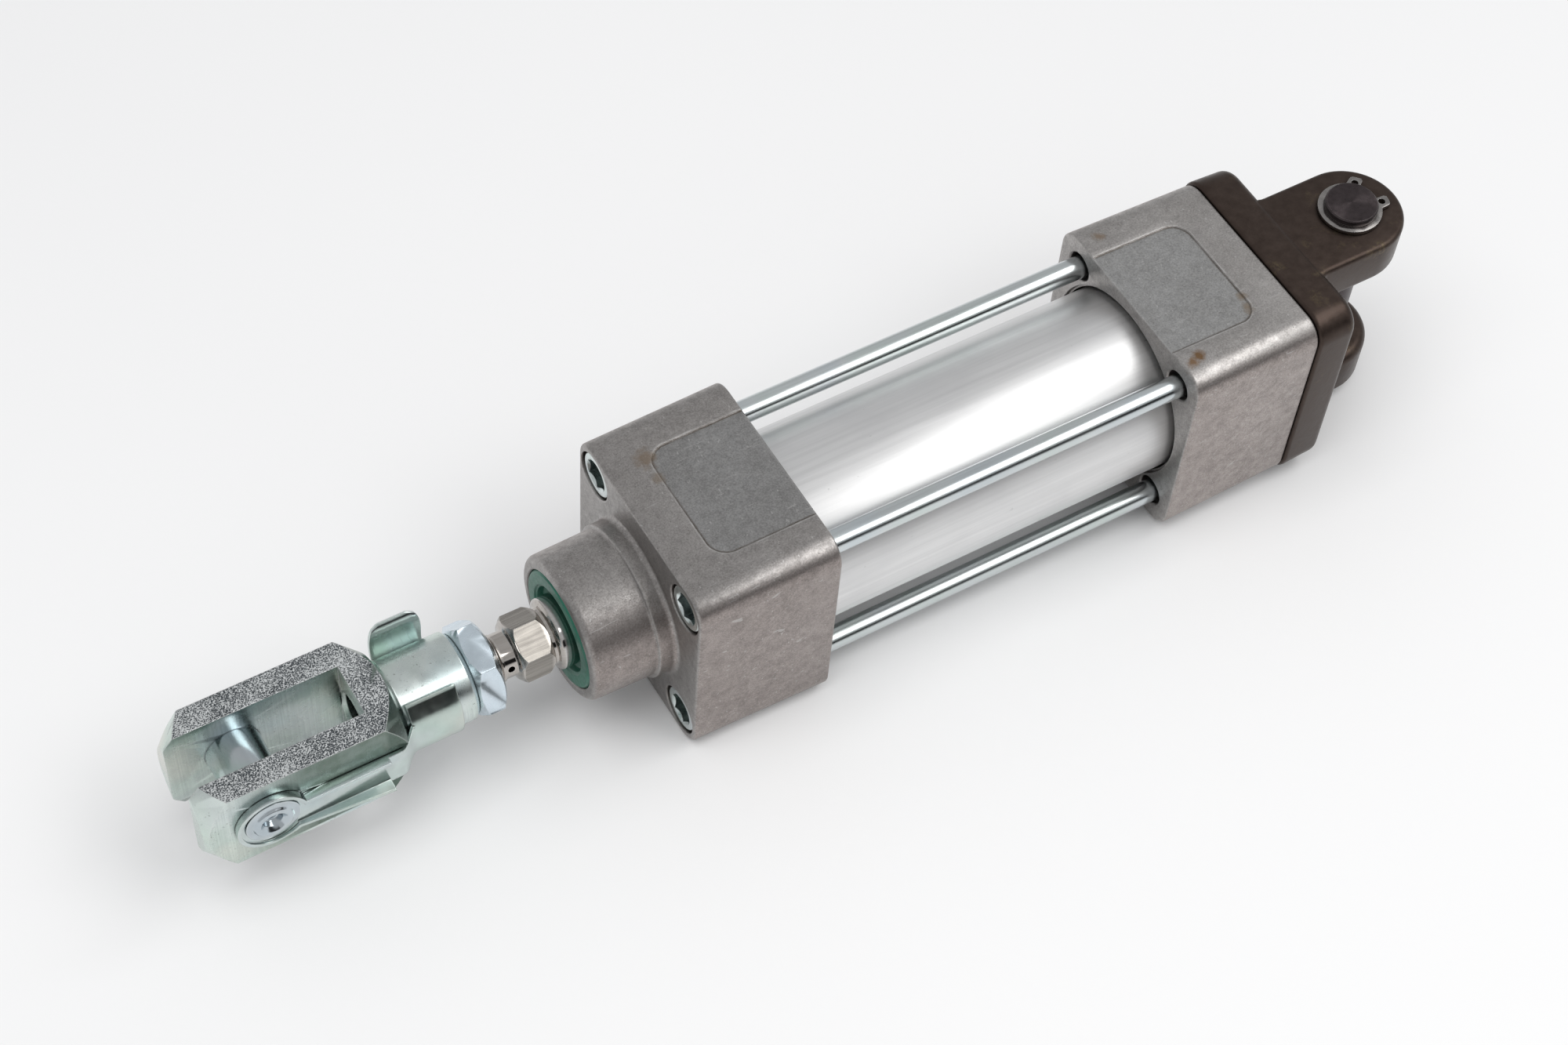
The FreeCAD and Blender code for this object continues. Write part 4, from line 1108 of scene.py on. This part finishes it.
# ------------------------------------------------------------------ rear clevis
def ear(z0, z1):
    root = XE + FL_T - 0.2
    half = [(XE + FL_T - 5.0, EAR_R + 0.25), (root, EAR_R + 0.25), (root + 0.5, EAR_R + 0.05), (root + 1.2, EAR_R)]
    arc = [(XP + EAR_R * math.sin(t), EAR_R * math.cos(t)) for t in [PI * i / 36 for i in range(37)]]
    poly = [(x, y) for x, y in half] + arc + [(x, -y) for x, y in half[::-1]]
    top = z1 > 0
    return prism("e", poly, "Z", z0, z1, 2.2 if top else 1.1, 1.1 if top else 2.2, 5)


clv = block("clv", XE + 0.02, FL_H, XE + FL_T, FL_H - 0.35, 6.0, 0.8, 2.3, 7)
boo(clv, [ear(EAR_IN, EAR_OUT), ear(-EAR_OUT, -EAR_IN)], "UNION")
cuts = [cutter("Z", -30, 30, 6.05, XP, 0.0, 72), rod_cut(XE - 1, XE + 4.2, PILOT_R + 0.06, seg=96)]
for z, r0, r1 in ((EAR_OUT, 6.05, 6.6), (-EAR_OUT, 6.6, 6.05)):
    cuts.append(lathe("c", [(z - 0.55, 0), (z - 0.55, r0 if z > 0 else 6.6), (z + 0.55, r1 if z > 0 else 6.0), (z + 0.55, 0)], "Z", (XP, 0, 0), 64, closed=False))
for y in (-TG, TG):
    for z in (-TG, TG):
        cuts += [rod_cut(XE - 1, XE + FL_T + 1, 3.2, y, z, 40), rod_cut(XE + 3.8, XE + FL_T + 9, 5.5, y, z, 56)]
boo(clv, cuts)
part(clv, "rear_clevis_casting", "housing", M["coat"], ["rear_clevis"])

# socket screws in the clevis flange
scr = []
for y in (-TG, TG):
    for z in (-TG, TG):
        hd = lathe("h", [(XE + 3.8, 0), (XE + 3.8, 4.95, 0.2), (XE + 9.8, 4.95, 0.45), (XE + 9.8, 0)], "X", (0, y, z), 64, closed=False)
        boo(hd, [prism("c", ngon(2.9, 6, 0.3, y, z), "X", XE + 6.6, XE + 11),
                 lathe("c", [(XE + 9.3, 0), (XE + 9.35, 2.75), (XE + 9.9, 3.3), (XE + 9.9, 0)], "X", (0, y, z), 32, closed=False)])
        scr += [hd, thread("t", XE - 10.3, XE + 3.9, 2.93, 2.42, 1.0, 36, 8, y, z)]
part(join("screws", scr), "clevis_screws_black", "housing", M["screw"], ["clevis_screws"])

# ------------------------------------------------------------------ rear pin and circlips
PZ = 28.3
GZ, GT = EAR_OUT + 0.06, 1.1
rp = lathe("rp", [(-PZ, 0), (-PZ, 5.7, 0.08), (-PZ + 0.3, 6.0, 0.1), (-GZ - GT, 6.0), (-GZ - GT, 5.72), (-GZ, 5.72), (-GZ, 6.0), (GZ, 6.0), (GZ, 5.72), (GZ + GT, 5.72),
                  (GZ + GT, 6.0), (PZ - 0.3, 6.0, 0.1), (PZ, 5.7, 0.08), (PZ, 0)], "Z", (XP, 0, 0), 96, n=3, closed=False)
part(rp, "rear_clevis_pin_turned", "rear_pin", M["pin"], ["rear_clevis_pin"])


def snap_ring(z, mid):
    c = math.radians(mid)
    gap = math.radians(20)
    pts = []
    # outer edge: eccentric, swelling into the two lugs
    n = 120
    for i in range(n + 1):
        t = c + gap + (2 * PI - 2 * gap) * i / n
        dt = min(abs(t - c), abs(2 * PI - (t - c)))
        deg = math.degrees(dt)
        base = 7.30 - 0.25 * math.cos(dt)
        k = max(0.0, min(1.0, (47.0 - deg) / 11.0))
        r = base + (9.25 - base) * k * k * (3 - 2 * k)
        if deg < 21.5:
            r -= 0.35 * (21.5 - deg)
        pts.append((XP + r * math.cos(t), r * math.sin(t)))
    for i in range(n, -1, -1):
        t = c + gap + (2 * PI - 2 * gap) * i / n
        pts.append((XP + 5.76 * math.cos(t), 5.76 * math.sin(t)))
    ob = prism("ring", pts, "Z", z, z + 0.98, 0.12, 0.12, 2)
    holes = []
    for da in (-30.5, 30.5):
        a = c + math.radians(da)
        holes.append(cutter("Z", z - 1, z + 2, 0.80, XP + 7.5 * math.cos(a), 7.5 * math.sin(a), 32))
    return boo(ob, holes)


part(join("rings", [snap_ring(GZ + 0.06, 15.4), snap_ring(-GZ - GT + 0.06, 15.4)]), "pin_circlips_steel", "rear_pin", M["ring"], ["pin_circlips"])

# ------------------------------------------------------------------ floor, lights, camera
floor_mat = Mat("pale floor")
fn = floor_mat.noise(1.6, 3, 0.5)
floor_mat.set(color=floor_mat.ramp(fn, [(0.3, (0.86, 0.86, 0.865)), (0.7, (0.90, 0.90, 0.90))]), rough=0.55, metallic=0.0, spec=0.3)
floor_mat.normal(floor_mat.bump(floor_mat.noise(900, 2), 0.00002, 0.2))
# the cylinder lies on its front cap edge and on the lower end of the rear pin
za, zb, xb = -25.72, -28.32, XP
tilt = (zb - za) / xb
v = []
for x, y in ((-1600, -1600), (1600, -1600), (1600, 1600), (-1600, 1600)):
    v.append((x, y, za + tilt * x))
fl = make("floor", v, [(0, 1, 2, 3)])
if fl.data.polygons[0].normal.z < 0:
    fl.data.flip_normals()
metres(fl)
fl.data.materials.append(floor_mat.m)

world = bpy.data.worlds.new("studio")
bpy.context.scene.world = world
world.use_nodes = True
wb = world.node_tree.nodes["Background"]
wb.inputs[0].default_value = (0.985, 0.99, 1.0, 1)
wb.inputs[1].default_value = 0.56


def area(name, loc, target, size, power, color=(1, 1, 1), size_y=None):
    li = bpy.data.lights.new(name, "AREA")
    li.energy = power
    li.color = color
    li.shape = "RECTANGLE"
    li.size = size
    li.size_y = size_y or size
    ob = bpy.data.objects.new(name, li)
    ob.location = loc
    d = Vector(target) - Vector(loc)
    ob.rotation_euler = d.to_track_quat("-Z", "Y").to_euler()
    ob.visible_camera = False
    bpy.context.scene.collection.objects.link(ob)
    return ob


area("key", (0.58, -0.32, 0.86), (0.09, 0, 0), 1.05, 4.3, (1.0, 0.995, 0.985), 0.46)
area("over", (-0.38, -0.06, 1.05), (-0.05, 0, 0), 0.7, 4.4, (1.0, 1.0, 1.0), 0.8).visible_glossy = False

# dark card in front, low: only metal sees it
flag_mat = Mat("dark card")
flag_mat.set(color=flag_mat.ramp(flag_mat.noise(3.0), [(0.3, (0.010, 0.010, 0.011)), (0.7, (0.016, 0.016, 0.017))]), rough=0.9, metallic=0.0, spec=0.1)


def card(name, az, el, dist, w, h):
    a, e = math.radians(az), math.radians(el)
    n = Vector((math.cos(e) * math.cos(a), math.cos(e) * math.sin(a), math.sin(e)))
    me = bpy.data.meshes.new(name)
    me.from_pydata([(-w / 2, -h / 2, 0), (w / 2, -h / 2, 0), (w / 2, h / 2, 0), (-w / 2, h / 2, 0)], [], [(0, 1, 2, 3)])
    me.materials.append(flag_mat.m)
    ob = bpy.data.objects.new(name, me)
    ob.location = n * dist
    ob.rotation_euler = (-n).to_track_quat("Z", "Y").to_euler()
    ob.visible_camera = False
    ob.visible_diffuse = False
    ob.visible_shadow = False
    bpy.context.scene.collection.objects.link(ob)
    return ob


card("dark_card_front", -72, 14, 1.1, 1.5, 0.42)

cam = bpy.data.cameras.new("camera")
cam.sensor_width = 36.0
cam.sensor_fit = "HORIZONTAL"
cam.lens = 3754.69 / 2000.0 * 36.0
cam.clip_start = 0.01
cam.clip_end = 20.0
co = bpy.data.objects.new("camera", cam)
bpy.context.scene.collection.objects.link(co)
right = Vector((0.85934341, -0.50835382, 0.05572512))
up = Vector((0.38598072, 0.71621384, 0.58142637))
back = Vector((-0.33548142, -0.4781361, 0.81168842))
co.matrix_world = Matrix(((right.x, up.x, back.x, -0.17507427), (right.y, up.y, back.y, -0.30048953), (right.z, up.z, back.z, 0.51227205), (0, 0, 0, 1)))
bpy.context.scene.camera = co

sc = bpy.context.scene
sc.view_settings.view_transform = "Standard"
sc.view_settings.look = "None"
sc.view_settings.exposure = 0.0
sc.view_settings.gamma = 1.0
